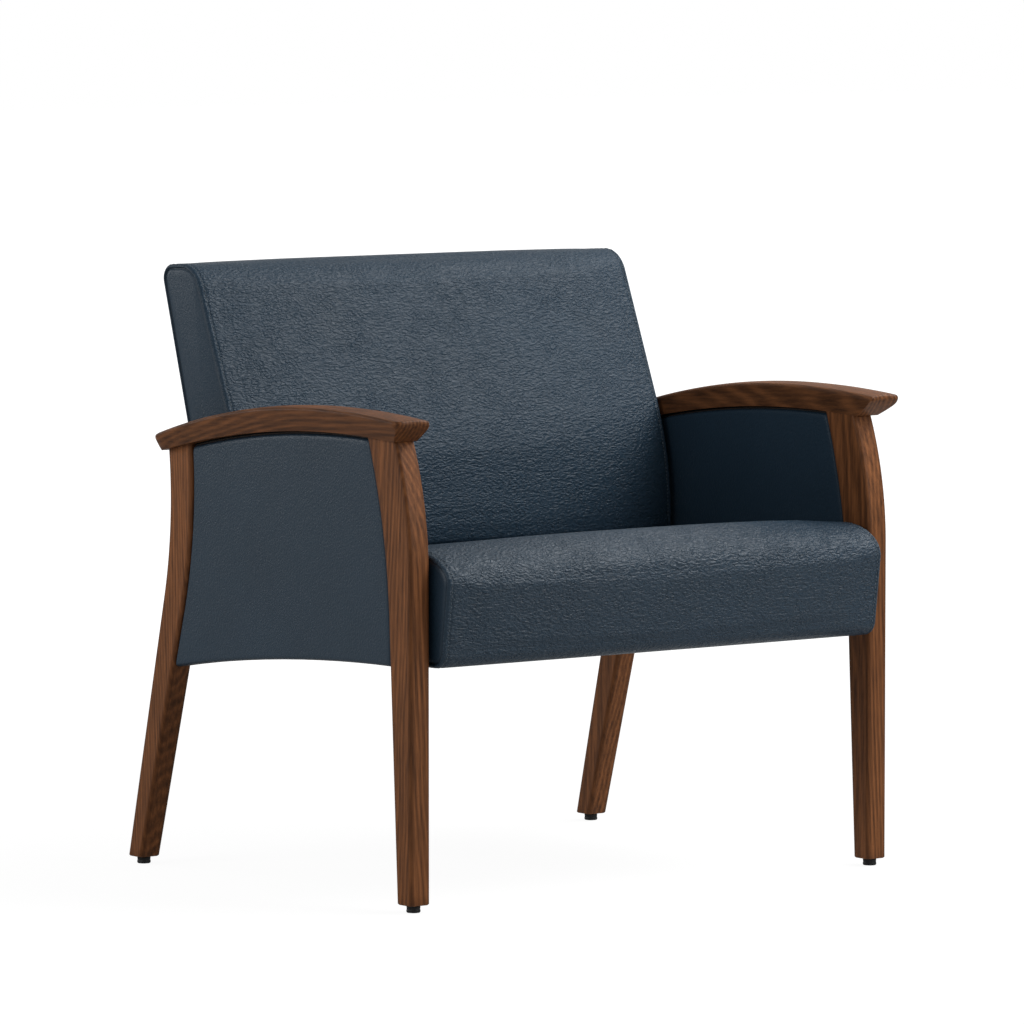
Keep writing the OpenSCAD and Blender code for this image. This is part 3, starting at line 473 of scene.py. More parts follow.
# %% Padded faces of the side panels
panel_front, panel_rear, panel_rise, cap_gap = 326, 284, 10, 3
core_thick, recess, face_rise = 15, 1.5, 1
edge_gap, edge_roll, panel_points = 0.6, 5, 620
front_meet_rear, rear_meet_front = meets_cap(front_rear_edge), meets_cap(rear_front_edge)
panel_start = float(front_rear_edge(front_meet_rear))
panel_end = float(rear_front_edge(rear_meet_front))
leg_middle = clear_half + leg_thick / 2

def standing(x, flat):
    """Points of the side view, all at this place across the width"""
    return np.column_stack([np.full(len(flat), x), flat])

def run_of(line):
    """Distance of each point from the first, along the line"""
    return np.concatenate([[0], np.cumsum(np.linalg.norm(np.diff(line, axis=0), axis=1))])

def points_at(at, run, line):
    """Points of the line at these distances along it"""
    return np.stack([np.interp(at, run, column) for column in line.T], axis=-1)

def inset(line, t):
    """Each point moves in by t, square to the line through its two neighbours"""
    along = np.roll(line, -1, axis=0) - np.roll(line, 1, axis=0)
    along /= np.linalg.norm(along, axis=1)[:, None]
    return line + t * np.stack([-along[:, 1], along[:, 0]], axis=1)

def even(line, count):
    """The same closed line with its points evenly spaced along it"""
    closed = np.concatenate([line, line[:1]])
    run = run_of(closed)
    return points_at(np.arange(count) * run[-1] / count, run, closed)

def rounded(line, window):
    """Corners of a closed line are softened by a running mean of its evenly spaced points"""
    padded = np.concatenate([line[-window:], line, line[:window]])
    kernel = np.ones(2 * window + 1) / (2 * window + 1)
    return np.stack([np.convolve(column, kernel, "valid") for column in padded.T], axis=1)

def panel_line():
    """Lower arch, rear leg, cap and front leg, anticlockwise as seen from the right"""
    t = np.linspace(0, 1, 80)[:-1]
    y = blend(float(front_rear_edge(panel_front)), float(rear_front_edge(panel_rear)), t)
    low = np.stack([y, blend(panel_front, panel_rear, t) + 4 * panel_rise * t * (1 - t)], 1)
    z = blend(panel_rear, rear_meet_front - cap_gap, t)
    rear = np.stack([rear_front_edge(z), z], 1)
    y = blend(panel_end, panel_start, t)
    top = np.stack([y, cap_under(y) - cap_gap], 1)
    z = blend(front_meet_rear - cap_gap, panel_front, t)
    front = np.stack([front_rear_edge(z), z], 1)
    return rounded(even(np.concatenate([low, rear, top, front]), panel_points), 2)

def panel_face(name, outer, left):
    """Thickness rises as a quarter circle over the edge roll, then by 1 mm over the face"""
    line = inset(panel_line(), edge_gap)
    drawn_in = inset(rounded(line, edge_roll), edge_roll)
    middle = line.mean(axis=0)
    thick = (leg_thick - core_thick) / 2 - recess
    rings = []
    for share in (0, 0.15, 0.35, 0.55, 0.72, 0.85, 0.94, 1):
        edge = blend(line, drawn_in, 1 - math.sqrt(max(0, 1 - share ** 2)))
        rings.append(standing(share * (thick - face_rise), edge))
    for share in (0.02, 0.05, 0.1, 0.18, 0.28, 0.4, 0.53, 0.67, 0.82):
        face = edge + (middle - edge) * share
        rings.append(standing(thick - face_rise * (1 - share) ** 3, face))
    rings = np.array(rings)
    rings[..., 0] = leg_middle + (1 if outer else -1) * (core_thick / 2 + rings[..., 0])
    piece = tube(name, rings, vinyl_flat if outer else vinyl_inside, 60, None, left)
    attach(piece, "chair")
    return piece

for side, left in sides:
    for pad, outer in (("outer_pad_", True), ("inner_pad_", False)):
        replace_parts(panel_face(pad + side + "_cover", outer, left), pad + side)

# %% [markdown]
# A strip of black felt lies along the top of each panel, so that no light shows under the cap: the
# ribbon is painted shade, dark in place of the shadow there. It is a flat ribbon, a little wider
# than the plywood, and it follows the underside of the cap. Its matted fibres are a fine noise, and
# they scatter light at every angle.

# %% Felt strips, painted shade under the caps
gap_shade_felt, place, shader = finish_of("gap_shade_felt")
mat = place.noise(900, 3, 0.7, 0.6)
surface(shader, mat.mix(linear(12, 12, 13), linear(34, 33, 33)), 0.9 + mat * 0.08,
        mat, 0.4, 0.0003, 0.1)

def gap_shade_strip(name, left):
    """Ribbon 15.8 mm wide and 2 mm thick, its top at the underside of the cap"""
    y = np.linspace(panel_start + 0.5, panel_end - 0.5, 70)[:, None]
    x = leg_middle + np.array([[-7.9, -7.9, -7.5, 7.5, 7.9, 7.9, 7.5, -7.5]])
    z = cap_under(y) + np.array([[-1.6, -0.4, 0, 0, -0.4, -1.6, -2, -2]]) - 0.02
    piece = tube(name, np.stack([x + 0 * y, y + 0 * x, z], axis=-1), gap_shade_felt, 60, None, left)
    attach(piece, "chair")

for side, left in sides:
    gap_shade_strip("gap_shade_strip_" + side, left)

# %% [markdown]
# Seat and back are boxed cushions: a long panel wraps round the profile, and a flat end panel is
# sewn in at each side. The seam stands proud as a small roll, the end panel sits a little behind
# it, and a row of topstitching 7 mm in from the seam presses a shallow channel into the wrap.
# The profile is a closed line in the chair's side view, and stations across the width carry it
# from one end panel to the other, with close stations where the seam and the channel are.

# %% Profile lines with round corners
def corner(before, at, after, radius, steps):
    """Arc that touches both lines through a corner: its centre lies on the bisector"""
    before, at, after = map(np.asarray, (before, at, after))
    a, b = before - at, after - at
    a, b = a / np.linalg.norm(a), b / np.linalg.norm(b)
    half = math.acos(float(a @ b)) / 2
    hub = at + (a + b) / np.linalg.norm(a + b) * radius / math.sin(half)
    start = at + a * radius / math.tan(half) - hub
    end = at + b * radius / math.tan(half) - hub
    side = np.sign(start[0] * end[1] - start[1] * end[0])
    t = side * np.linspace(0, math.pi - 2 * half, steps)
    return hub + np.stack([start[0] * np.cos(t) - start[1] * np.sin(t),
                           start[0] * np.sin(t) + start[1] * np.cos(t)], axis=1)

seat_half, seat_low, seat_high, seat_rear, back_front_y = clear_half - 5, 326, 480, 512, 416
overhang, nose_run, nose_rise, front_rake, seat_bow, seat_crown = 54, 75, 41, 14, 4, 9
nose_front, seat_crest = 4 - overhang, nose_run - overhang
seat_fall = 0.32 * (seat_high - seat_low)

def seat_top(y):
    """Level as far as the crest of the nose, then a straight fall towards the back"""
    return seat_high - seat_fall * np.maximum(0, y - seat_crest) / (seat_rear - seat_crest)

def seat_line():
    """Lower rear corner, underside, lower front edge, round nose, falling top, upper rear corner"""
    toe, brow = (nose_front + front_rake, seat_low), (nose_front, seat_high - nose_rise)
    heel, rear = (seat_rear, seat_low), (seat_rear, float(seat_top(seat_rear)))
    crest = nose_front + nose_run
    turn = np.radians(np.linspace(0, 90, 40))
    nose = np.stack([crest - nose_run * np.cos(turn),
                     seat_high - nose_rise + nose_rise * np.sin(turn)], 1)
    low = [corner(rear, heel, toe, radius=7, steps=8), corner(heel, toe, brow, 22, 16)]
    return np.concatenate([*low, nose, corner((crest, seat_high), rear, heel, 14, 12)])[::-1]

def swell(share):
    """Full in the middle of the width and drawn in at the seams: one less the cube"""
    return 1 - np.abs(share) ** 3

def seat_shape(line, share):
    """The front bows out by 4 mm and the crest rises by 9 mm, both fading towards the back"""
    y, z = line[:, 0], line[:, 1]
    up = (z - seat_low) / (seat_high - seat_low)
    fore = np.clip((seat_crest - y) / nose_run, 0, None)
    aft = np.clip((y - seat_crest) / (back_front_y - seat_crest), 0, 1)
    lift = seat_crown * swell(share) * (1 - aft) * np.clip(2 * up - 1, 0, None)
    return np.stack([y - seat_bow * swell(share) * fore, z + lift], axis=1)

# %% A boxed cushion
seam_band, stitch_in, stitch_hold, panel_bulge = 46, 7.2, 34, 3
stations, pucker_high, pucker_fade = 95, 0.5, 9
wall_shares = (0.9, 0.75, 0.58, 0.42, 0.28, 0.16, 0.07, 0.02)
seam_strip = np.array([
    [46, 0], [34, 0], [25, 0], [18, 0], [13.5, 0], [11, .05], [9.4, .35], [8.2, .8], [7.2, 1.05],
    [6.2, .8], [5.2, .35], [4.3, .1], [3.4, .2], [2.5, .55], [1.6, 1.15], [.8, 2], [.3, 2.9],
    [.1, 3.8], [.35, 4.6], [1.6, 5.1], [2.9, 5.8], [2.9, 6.6], [1.9, 7.8], [1.1, 9.8], [.8, 12.5]])

def pucker(run, seed):
    """Sum of sines of random length and phase, 6 to 18 mm long, about zero and within one"""
    draw = np.random.default_rng(seed)
    waves = sum(np.sin(run * 2 * math.pi / length + phase) * weight for length, phase, weight in
                zip(draw.uniform(6, 18, 9), draw.uniform(0, 6.3, 9), draw.uniform(0.3, 1, 9)))
    return waves / 4

def boxed(line, shape, count, seed):
    """Rings from the middle of one end panel, over its seam, across the width and back down"""
    line = even(line, count)
    run = np.arange(count) * np.linalg.norm(line[1] - line[0])
    across = np.linspace(-1, 1, stations)[1:-1] * (seat_half - seam_band)
    def ring(x, depth, share):
        """The profile at this station, drawn in by a depth"""
        return standing(x, inset(shape(line, share), depth))
    def wall(sign):
        """End panel, from near its middle out to the seam"""
        inward, depth = seam_strip[-1]
        deep = ring(sign * (seat_half - inward), depth, sign)
        middle = deep.mean(axis=0)
        out = []
        for share in wall_shares:
            part = deep + (middle - deep) * share
            part[:, 0] = sign * (seat_half - inward + panel_bulge * (1 - (1 - share) ** 2))
            out.append(part)
        return out
    def strip(sign):
        """Seam roll and channel, with puckers that fade away from the stitches"""
        out = []
        for inward, depth in seam_strip[::-1]:
            x = sign * (seat_half - inward)
            fade = math.exp(-max(0, inward - stitch_in) / pucker_fade)
            fade *= (depth < 3.9) * (inward > 2)
            lift = pucker_high * fade * pucker(run, seed + (sign > 0))
            part, deeper = (ring(x, d, x / seat_half) for d in (depth, depth + 1))
            part[:, 1:] += (part[:, 1:] - deeper[:, 1:]) * lift[:, None]
            out.append(part)
        return out
    middle = [ring(x, 0, x / seat_half) for x in across]
    rings = wall(-1) + strip(-1) + middle + strip(1)[::-1] + wall(1)[::-1]
    def spread(end, band):
        """A value for each ring: end panel, seam band, none on the wrap, then back down"""
        half = np.concatenate([np.full(len(wall_shares), end), band])
        return np.concatenate([half, np.zeros(len(middle)), half[::-1]])
    inward, depth = seam_strip[::-1].T
    flat = np.where(depth > 4, 1, np.where(inward < 4, 0.6, 0))
    # Seam mark for painted shade: full in the groove behind the seam roll, half along the stitch
    # channel
    seam = np.exp(-((depth - 6) / 1.1) ** 2) + 0.5 * np.exp(-(inward - stitch_in) ** 2)
    held = spread(1, np.clip((seam_band - inward) / stitch_hold, 0, 1))
    marks = {"panel": spread(1, flat), "seam": spread(0, seam)}
    return np.array(rings), held, {k: np.repeat(v, count) for k, v in marks.items()}

# %% [markdown]
# The foam pushes the cover out between its seams, and the cover answers with a soft, slightly
# uneven crown. That is what cloth simulation is for: the grid is treated as cloth under a low
# pressure, the seams and the stapled underside are held, and how far a point may go is capped.
# The result is written back into the mesh, so no simulation is left on the piece.

# %% Cloth under pressure
seat_points, back_points, puff, pressure, frames = 340, 300, 2.2, 4, 10

def settle(piece, held):
    """The simulated move of each point, shortened where it is longer than the cap, puff"""
    group = piece.vertex_groups.new(name="held")
    levels = np.round(np.asarray(held) * 10).astype(int)
    for level in range(1, 11):
        group.add(np.flatnonzero(levels == level).tolist(), level / 10, "REPLACE")
    rest = np.empty(3 * len(piece.data.vertices), dtype=np.float32)
    piece.data.vertices.foreach_get("co", rest)
    cloth = piece.modifiers.new("cover", "CLOTH")
    kind = cloth.settings
    kind.quality, kind.mass = 6, 0.25
    kind.tension_stiffness = kind.compression_stiffness = 18
    kind.shear_stiffness, kind.bending_stiffness = 8, 0.6
    kind.use_pressure, kind.uniform_pressure_force = True, pressure
    kind.vertex_group_mass, kind.pin_stiffness = "held", 2
    kind.effector_weights.gravity = 0
    cloth.collision_settings.use_collision = False
    cloth.point_cache.frame_end = frames
    for step in range(1, frames + 1):
        bpy.context.scene.frame_set(step)
    shaped = piece.evaluated_get(bpy.context.evaluated_depsgraph_get())
    moved = np.empty_like(rest)
    shaped.data.vertices.foreach_get("co", moved)
    piece.modifiers.remove(cloth)
    bpy.context.scene.frame_set(1)
    move = (moved - rest).reshape(-1, 3)
    length = np.linalg.norm(move, axis=1)
    limit = np.minimum(1, puff * 0.001 / np.maximum(length, 1e-9))
    piece.data.vertices.foreach_set("co", (rest.reshape(-1, 3) + move * limit[:, None]).ravel())
    piece.data.update()
    print(piece.name, "moved up to", round(float(length.max()) * 1000, 1), "mm, on average",
          round(float(length.mean()) * 1000, 2), "mm before the cap of", puff)

def cushion(name, line, shape, count, fixed, seed, cover):
    """Cushion body, with the points that stay put named by their place in the side view"""
    rings, held, marks = boxed(line, shape, count, seed)
    piece = tube(name, rings, cover, None, marks)
    weight = np.maximum(held[:, None], fixed(rings[..., 1], rings[..., 2]))
    settle(piece, np.concatenate([weight.ravel(), [1, 1]]))
    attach(piece, "chair")
    return piece

def seat_fixed(y, z):
    """Held along the underside and under the back, with a soft start over 20 and 30 mm"""
    return np.clip(np.maximum((seat_low + 30 - z) / 20, (y - 400) / 30), 0, 1)

seat = cushion("seat_cushion", seat_line(), seat_shape, seat_points, seat_fixed, 11, vinyl_seat)
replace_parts(seat, "seat_cover", "seat_foam")

# %% [markdown]
# The back is the same kind of boxed cushion. Its front is bowed at the small of the back and then
# leans back at 22 degrees, the rear face leans at 16.4 degrees, and a large round edge joins them
# at the top. It stands on the seat just inside its rear edge.

# %% Back cushion
back_rear_y, back_high, lumbar, back_bow, bow_fade = 502, 842, 427, 7, 46
lean_front, lean_rear = math.radians(22), math.radians(16.4)
back_foot, back_heel = float(seat_top(back_front_y)) + 1, float(seat_top(back_rear_y)) + 1
bow_low = back_foot + 24
bow_end = bow_low + lumbar * math.sin(lean_front)

def back_front(z):
    """Upright for 24 mm, an arc of 427 mm radius up to 22 degrees, then straight"""
    arc = np.where(z > bow_low, sag(lumbar, np.clip(z, bow_low, bow_end) - bow_low), 0)
    return back_front_y + arc + np.maximum(0, z - bow_end) * math.tan(lean_front)

def back_rear(z):
    """A straight line that leans from the heel"""
    return back_rear_y + (z - back_foot) * math.tan(lean_rear)

def back_line():
    """Front foot, bowed front, large top edge, small rear edge, rear face, heel"""
    foot, heel = (back_front_y, back_foot), (float(back_rear(back_heel)), back_heel)
    top = (float(back_front(back_high)), back_high)
    rear = (float(back_rear(back_high - 4)), back_high - 4)
    z = np.linspace(bow_low, bow_end, 40)
    bow = np.stack([back_front(z), z], 1)
    start = corner(heel, foot, (back_front_y, bow_end), radius=11, steps=8)
    return np.concatenate([start, bow, corner(bow[-1], top, rear, 46, 28),
                           corner(top, rear, heel, 20, 16), corner(rear, heel, foot, 8, 6)])[::-1]

def back_shape(line, share):
    """The front bows out by 7 mm at mid width, and less towards the rear face and the foot"""
    y, z = line[:, 0], line[:, 1]
    deep = np.clip((back_rear(z) - y) / (back_rear_y - back_front_y) * 1.4 - 0.4, 0, 1)
    high = np.clip((z - back_foot) / bow_fade, 0, 1)
    return np.stack([y - back_bow * swell(share) * deep * high, z], axis=1)

def back_fixed(y, z):
    """Held along the foot and over the rear face, which has a board behind it"""
    return np.clip(np.maximum((back_foot + 36 - z) / 20, (y - back_rear(z) + 20) / 10), 0, 1)

back_rest = cushion("back_cushion", back_line(), back_shape, back_points, back_fixed, 23,
                    vinyl_wrap)
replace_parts(back_rest, "back_cover", "back_foam")

# %% [markdown]
# Topstitching is a row of separate stitches, each 3.7 mm of thread that dips into the vinyl at
# both ends. Real thread shows as short raised dashes, so each stitch here is a small bent tube, and
# a row is one mesh. The row follows the channel that the cushion already has, in from the seam. The
# thread is a shade lighter than the vinyl, and a slanting noise stands for its twist.

# %% Topstitching
thread, place, shader = finish_of("thread")
twist = place.stretch((700, 900, 1100), (0.4, 0.5, 0.2)).noise(1, 1)
surface(shader, twist.mix(linear(66, 78, 88), linear(108, 120, 130)), 0.5 + twist * 0.2,
        twist, 0.4, 0.0002)

pitch, length, thick, arch_high, sunk = 5.2, 3.7, 0.5, 0.55, 0.18

def stitch_row(name, path, outwards):
    """Stitch centres every pitch along the path: each is an arch of thread, six sides round"""
    run = run_of(path)
    centres = np.arange(pitch, run[-1] - pitch, pitch)
    bend, around = np.linspace(-1, 1, 6), np.linspace(0, 2 * math.pi, 7)[:-1]
    at = centres[:, None] + bend[None, :] * length / 2
    spine, lift = points_at(at, run, path), points_at(at, run, outwards)
    spine = spine + lift * (arch_high * np.cos(bend * math.pi / 2) - sunk)[None, :, None]
    side = np.array([1, 0, 0])
    radius = thick * np.sqrt(np.maximum(1 - (bend * 0.93) ** 2, 0.05))[None, :, None, None]
    cosine, sine = (wave(around)[None, None, :, None] for wave in (np.cos, np.sin))
    rings = spine[:, :, None, :] + radius * (cosine * side + sine * lift[:, :, None, :])
    rows, columns = len(bend), len(around)
    each = rows * columns
    quads, _ = tube_faces(rows, columns)
    ends = np.concatenate([np.array([[0, 1, 2, 3], [0, 3, 4, 5]]),
                           each - columns + np.array([[3, 2, 1, 0], [5, 4, 3, 0]])])
    points = rings.reshape(-1, 3)
    if outward(points[:each] - points[:each].mean(axis=0), quads):
        ends = ends[:, ::-1]
    else:
        quads = quads[:, ::-1]
    start = np.arange(len(centres))[:, None, None] * each
    faces = np.concatenate([(start + part[None]).reshape(-1, 4) for part in (quads, ends)])
    piece = build(name, points, faces, (), thread, None)
    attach(piece, "chair")
    print(name, len(centres), "stitches")

def stitch_path(line, shape, count, sign, keep):
    """Bottom of the channel, 7.2 mm in from the end panel, where it can be seen"""
    x = sign * (seat_half - stitch_in)
    flat = inset(shape(even(line, count), x / seat_half), 1)
    deeper = inset(flat, 1)
    path, lift = standing(x, flat), standing(0, flat - deeper)
    wanted = keep(flat[:, 0], flat[:, 1])
    start = int(np.flatnonzero(wanted & ~np.roll(wanted, 1))[0])
    order = np.roll(np.arange(count), -start)
    order = order[wanted[order]]
    return path[order], lift[order]

for side, sign in (("left", -1), ("right", 1)):
    path, lift = stitch_path(seat_line(), seat_shape, seat_points, sign,
                             lambda y, z: (z > seat_low + 4) & (y < back_front_y - 4))
    stitch_row("seat_stitches_" + side, path, lift)
    path, lift = stitch_path(back_line(), back_shape, back_points, sign,
                             lambda y, z: z > back_foot + 12)
    stitch_row("back_stitches_" + side, path, lift)

# %% [markdown]
# Four levelling glides carry the chair. Each is a moulded black foot on a threaded stem that screws
# into the end grain of the leg, so the foot comes down as it is turned. A turned part is a profile
# of radius against height carried round its axis, and here the radius is scalloped a little round
# the rim, as such feet are, to give the fingers a grip. The nylon is near black, with a fine
# spark-eroded skin and paler scuffs.

# %% Levelling glides
glide_black, place, shader = finish_of("moulded_black")
skin = place.noise(2600, 2, 0.6)
scuff = (place.noise(420, 3, 0.6) * 4 - 2.2).clamp()
surface(shader, (skin * 0.4 + scuff * 0.5).clamp().mix(linear(10, 10, 11), linear(34, 34, 34)),
        (0.42 + skin * 0.2 + scuff * 0.1).clamp(), skin, 0.35, 0.0002, 0.28)
scallops, scallop_deep = 12, 0.35

def glide_foot(name, x, y, body, node):
    """Radius: 9.5 mm with rounded edges, less 0.35 mm at twelve scallops round its upper half"""
    profile = np.array([
        [.2, 0], [7.4, 0], [8.4, .15], [9.1, .7], [9.45, 1.6], [9.5, 2.6], [9.5, 3.4], [9.2, 4],
        [9.2, 6.4], [9.45, 7], [9.4, 8.4], [9, 9.3], [8.2, 9.85], [7, 10], [4.2, 10], [4.05, 9.6],
        [4.05, 4], [3.9, 3.1], [.2, 3]])
    angles = np.linspace(0, 2 * math.pi, 97)[:-1]
    wide, high = profile[:, 0], profile[:, 1]
    grip = np.where((high > 3.8) & (high < 9) & (wide > 8), scallop_deep, 0)
    radius = profile[:, :1] - grip[:, None] * (0.5 + 0.5 * np.cos(scallops * angles))[None, :]
    rings = np.stack([x + radius * np.cos(angles), y + radius * np.sin(angles),
                      profile[:, 1:] + 0 * angles], axis=-1)
    piece = tube(name, rings, glide_black, 50)
    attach(piece, body)
    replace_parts(piece, node)

for row, y in (("front_", 0), ("rear_", foot_span)):
    for side, x in (("left", -leg_middle), ("right", leg_middle)):
        spot = row + side
        glide_foot("glide_foot_" + spot, x, y, "glide_" + spot, "glide_pad_" + spot)

# %% [markdown]
# Under the seat a black non-woven lining closes the frame. It is cut from the roll, turned in at
# the edge and held by staples every few centimetres, so it hangs a few millimetres between them
# and in the middle. A sheet this tight needs no simulation: its sag is a product of two arches,
# with small scallops between the staples along the edge. Its surface is a random mat of fibres
# under an embossed pattern of dots.

# %% Lining and staples
lining_black, place, shader = finish_of("lining_black")
mat = place.noise(700, 4, 0.7, 0.8)
dots = place.make("ShaderNodeTexVoronoi", {"feature": "F1"}, {"Vector": place, "Scale": 420})
surface(shader, (mat * 0.8 + dots * 0.3).clamp().mix(linear(14, 14, 15), linear(48, 48, 50)),
        0.85 + mat * 0.1, mat + dots, 0.5, 0.0003, 0.15)

hem, staple_step, lining_sag, edge_dip, lining_thick = 14, 40, 2.6, 0.5, 0.3
lining_x, lining_y0, lining_y1 = 365 - hem, -18 + hem, seat_rear - hem
columns, rows = 120, 90

def lining_sheet(name):
    """Sag is 2.6 mm times both arches; the edge dips 0.5 mm between staples 40 mm apart"""
    spans = np.linspace(-1, 1, columns + 1), np.linspace(-1, 1, rows + 1)
    uu, vv = np.meshgrid(*spans, indexing="ij")
    x, y = uu * lining_x, blend(lining_y0, lining_y1, (vv + 1) / 2)
    arch = (1 - uu ** 6) * (1 - vv ** 6)
    edge = np.exp(-np.minimum(1 - np.abs(uu), 1 - np.abs(vv)) * 14)
    dips = [np.abs(np.sin(run * math.pi / staple_step)) for run in (x, y - lining_y0)]
    z = seat_low - 0.35 - lining_sag * arch - edge_dip * edge * (dips[0] + dips[1]) / 2
    top = np.stack([x, y, np.minimum(z + lining_thick, seat_low - 0.1)], -1).reshape(-1, 3)
    low = np.stack([x, y, z], -1).reshape(-1, 3)
    here = np.arange(len(top)).reshape(columns + 1, rows + 1)
    quads = np.stack([here[:-1, :-1], here[1:, :-1], here[1:, 1:], here[:-1, 1:]],
                     axis=-1).reshape(-1, 4)
    border = np.concatenate([here[:, 0], here[-1, 1:], here[-2::-1, -1], here[0, -2:0:-1]])
    after, count = np.roll(border, -1), len(top)
    rim = np.stack([border, after, after + count, border + count], axis=-1)
    faces = np.concatenate([quads, quads[:, ::-1] + count, rim[:, ::-1]])
    piece = build(name, np.concatenate([top, low]), faces, (), lining_black, 60)
    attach(piece, "chair")
    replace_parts(piece, "dust_cover")

lining_sheet("seat_lining")

first_staple, staple_in, half_long, half_thin = 20, 5, 5, 0.5
edge_x = np.arange(first_staple - lining_x, lining_x, staple_step)
edge_y = np.arange(first_staple + lining_y0, lining_y1, staple_step)
spots = [(x, y, half_long, half_thin)
         for y in (lining_y0 + staple_in, lining_y1 - staple_in) for x in edge_x]
spots += [(x, y, half_thin, half_long)
          for x in (staple_in - lining_x, lining_x - staple_in) for y in edge_y]

def staples(name):
    """Each staple is a bar of wire 10 by 1 mm, 0.5 mm thick, with its long edges rounded off"""
    ring = np.array([[-1, -1], [1, -1], [1, 1], [-1, 1]])
    points, faces = [], []
    for x, y, wide, deep in spots:
        base = len(points)
        for grow, z in ((0.8, -1.15), (1, -0.95), (1, -0.55)):
            points += [(x + sx * wide * grow, y + sy * deep * grow, seat_low + z)
                       for sx, sy in ring]
        faces += [[base + 3, base + 2, base + 1, base], [base + 8, base + 9, base + 10, base + 11]]
        faces += [[low + k, low + (k + 1) % 4, low + 4 + (k + 1) % 4, low + 4 + k]
                  for low in (base, base + 4) for k in range(4)]
    piece = build(name, np.array(points), faces, (), steel, 20)
    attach(piece, "chair")
    print(name, len(spots), "staples")

# %% [markdown]
# The frame inside is never seen on the finished chair, but it is part of the model, so it gets
# honest finishes too: plywood with its layers, rails of pale solid wood, bright steel, and yellow
# zinc. A layered board needs only a fast wave along its thickness over the grain of the face.

# %% Finishes of the hidden frame
ply = 0.0028

def pale_wood(name, lamella, low=(176, 142, 98), high=(222, 194, 152)):
    """Stretched noise for grain, and for plywood a sine of the height for its layers"""
    material, place, shader = finish_of(name)
    grain = place.stretch((0.06, 1, 1)).noise(260, 3, 0.6)
    knots = place.noise(12, 2)
    tone = grain * 0.7 + knots * 0.3
    if lamella:
        layer = place.math("SINE", place.axis("Z") * (2 * math.pi / ply)) * 0.5 + 0.5
        tone = tone * 0.7 + layer * 0.3
    surface(shader, tone.clamp().mix(linear(*low), linear(*high)), 0.55 + grain * 0.2,
            grain, 0.25, 0.0004)
    return material

def metal(name, low, high, rough):
    """Drawn metal: fine lines along the piece move both its colour and its gloss"""
    material, place, shader = finish_of(name)
    lines = place.stretch((0.05, 1, 1)).noise(900, 2, 0.6)
    bloom = place.noise(60, 2)
    tone = (lines * 0.6 + bloom * 0.4).clamp()
    surface(shader, tone.mix(linear(*low), linear(*high)), rough + lines * 0.15,
            lines, 0.15, 0.0002)
    shader.inputs["Metallic"].default_value = 1
    return material

plywood, rail_wood = pale_wood("plywood", True), pale_wood("rail_wood", False)
# Painted shade: the panel cores are near-black plywood, so that their edge in the gap under the cap
# reads as shadow
gap_shade_core = pale_wood("gap_shade_plywood", True, (30, 22, 18), (52, 38, 30))
steel = metal("steel", (150, 152, 156), (196, 198, 202), 0.28)
zinc = metal("zinc", (178, 160, 96), (214, 200, 140), 0.30)
staples("lining_staples")
finishes = ((gap_shade_core, ("panel_core",)), (plywood, ("seat_deck", "back_board", "rear_board")),
            (rail_wood, ("rail", "stile", "block", "dowel")), (zinc, ("insert",)),
            (steel, ("bolt", "washer", "bush", "tube", "stem")))

dressed = 0
for node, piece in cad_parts.items():
    fitting = [material for material, words in finishes if any(word in node for word in words)]
    if fitting:
        piece.data.materials.clear()
        piece.data.materials.append(fitting[0])
        dressed += 1
print(dressed, "frame pieces finished, of", len(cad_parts))

# %% [markdown]
# The studio is a pale floor that runs out of sight, under one wide soft light with three weaker
# ones round it. The background is white for the camera, and lights the chair only weakly. The floor
# glows for the camera, more so with distance, until it can't be told from the background.

# %% Studio
def area(name, place, aim, size, power):
    """A rectangular light that faces a point: metres and watts"""
    lamp = bpy.data.lights.new(name, "AREA")
    lamp.shape, lamp.size, lamp.size_y, lamp.energy = "RECTANGLE", *size, power
    holder = add(name, lamp)
    holder.location = place
    holder.rotation_euler = (Vector(aim) - Vector(place)).to_track_quat("-Z", "Y").to_euler()

def ray(tree, kind):
    """One for rays of this kind, zero for the rest"""
    return Wire(tree, tree.nodes.new("ShaderNodeLightPath").outputs["Is " + kind + " Ray"])

area("key_light", (1.42, -0.88, 2.48), (0, 0.1, 0.5), (2.8, 1.5), 80)
area("side_light", (-3, 0.45, 1.55), (-0.3, 0.1, 0.5), (1.6, 1.6), 28)
area("rear_light", (-1.9, 2.8, 1.3), (0, 0.2, 0.5), (1.4, 1), 14)
area("front_fill", (1.3, -3.2, 1.4), (0, 0, 0.45), (1.4, 0.8), 23)

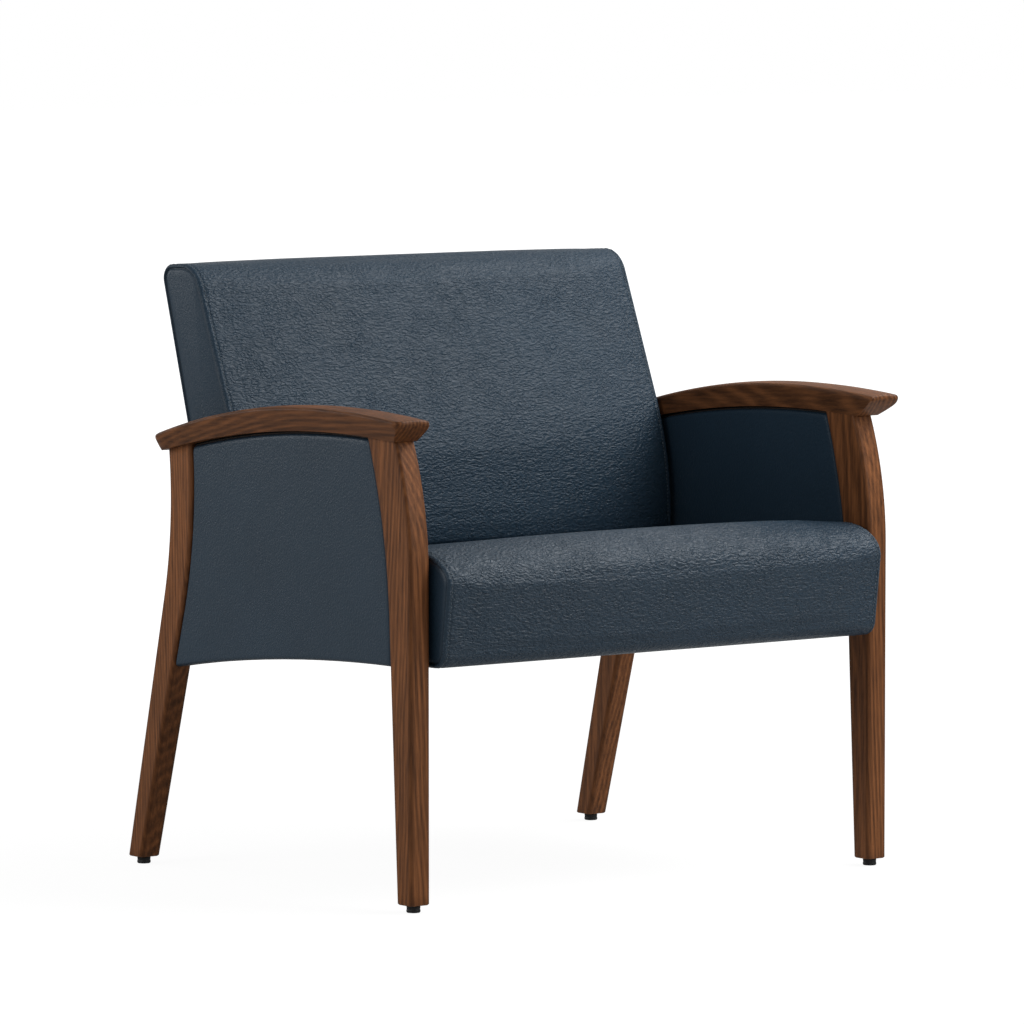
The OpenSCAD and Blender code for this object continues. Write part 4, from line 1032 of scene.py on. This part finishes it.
world = bpy.data.worlds.new("studio")
bpy.context.scene.world = world
world.use_nodes = True
tree = world.node_tree
even_light, mirrored = 0.22, 0.32
seen = ray(tree, "Camera") + ray(tree, "Transmission")
strength = even_light + seen.clamp() * (1 - even_light) + ray(tree, "Glossy") * mirrored
tree.links.new(strength.socket, tree.nodes["Background"].inputs["Strength"])
tree.nodes["Background"].inputs["Color"].default_value = (1, 1, 1, 1)

floor_finish, floor_place, floor_shader = finish_of("studio_floor")
floor_shader.inputs["Base Color"].default_value = (0.52, 0.52, 0.52, 1)
floor_shader.inputs["Roughness"].default_value = 0.9
floor_shader.inputs["Specular IOR Level"].default_value = 0
tree = floor_finish.node_tree
glow = tree.nodes.new("ShaderNodeEmission")
glow.inputs["Strength"].default_value = 1.2
near_share, fade_from, fade_run, mirrored_share = 0.78, 1.2, 2, 0.15
away = floor_place.make("ShaderNodeVectorMath", {"operation": "LENGTH"}, {0: floor_place}, "Value")
share = near_share + ((away - fade_from) * (1 / fade_run)).clamp() * (1 - near_share)
share = ray(tree, "Camera") * share + ray(tree, "Glossy") * mirrored_share
lit, glowing = Wire(tree, floor_shader.outputs[0]), Wire(tree, glow.outputs[0])
blended = share.make("ShaderNodeMixShader", None, {0: share, 1: lit, 2: glowing})
tree.links.new(blended.socket, tree.nodes["Material Output"].inputs["Surface"])
floor_mesh = bpy.data.meshes.new("floor")
floor_half, floor_high = 30, -0.0005
floor_mesh.from_pydata([(x * floor_half, y * floor_half, floor_high)
                        for x, y in ((-1, -1), (1, -1), (1, 1), (-1, 1))], [], [(0, 1, 2, 3)])
floor = add("floor", floor_mesh)
floor_mesh.materials.append(floor_finish)

# %% Camera
azimuth, height_angle = math.radians(37.37), math.radians(4.818)
camera_place, focal_length = (-6.187, -8.095, 1.3534), 258.68
right = (math.cos(azimuth), -math.sin(azimuth), 0)
back = (-math.sin(azimuth) * math.cos(height_angle), -math.cos(azimuth) * math.cos(height_angle),
        math.sin(height_angle))
up = np.cross(back, right)
turn = Matrix((right, tuple(map(float, up)), back)).transposed()
camera_data = bpy.data.cameras.new("camera")
camera_data.lens = focal_length
camera_data.sensor_width = 36
camera_data.clip_end = 100
camera = add("camera", camera_data)
camera.matrix_world = Matrix.Translation(camera_place) @ turn.to_4x4()
bpy.context.scene.camera = camera
bpy.context.scene.view_settings.view_transform = "Standard"
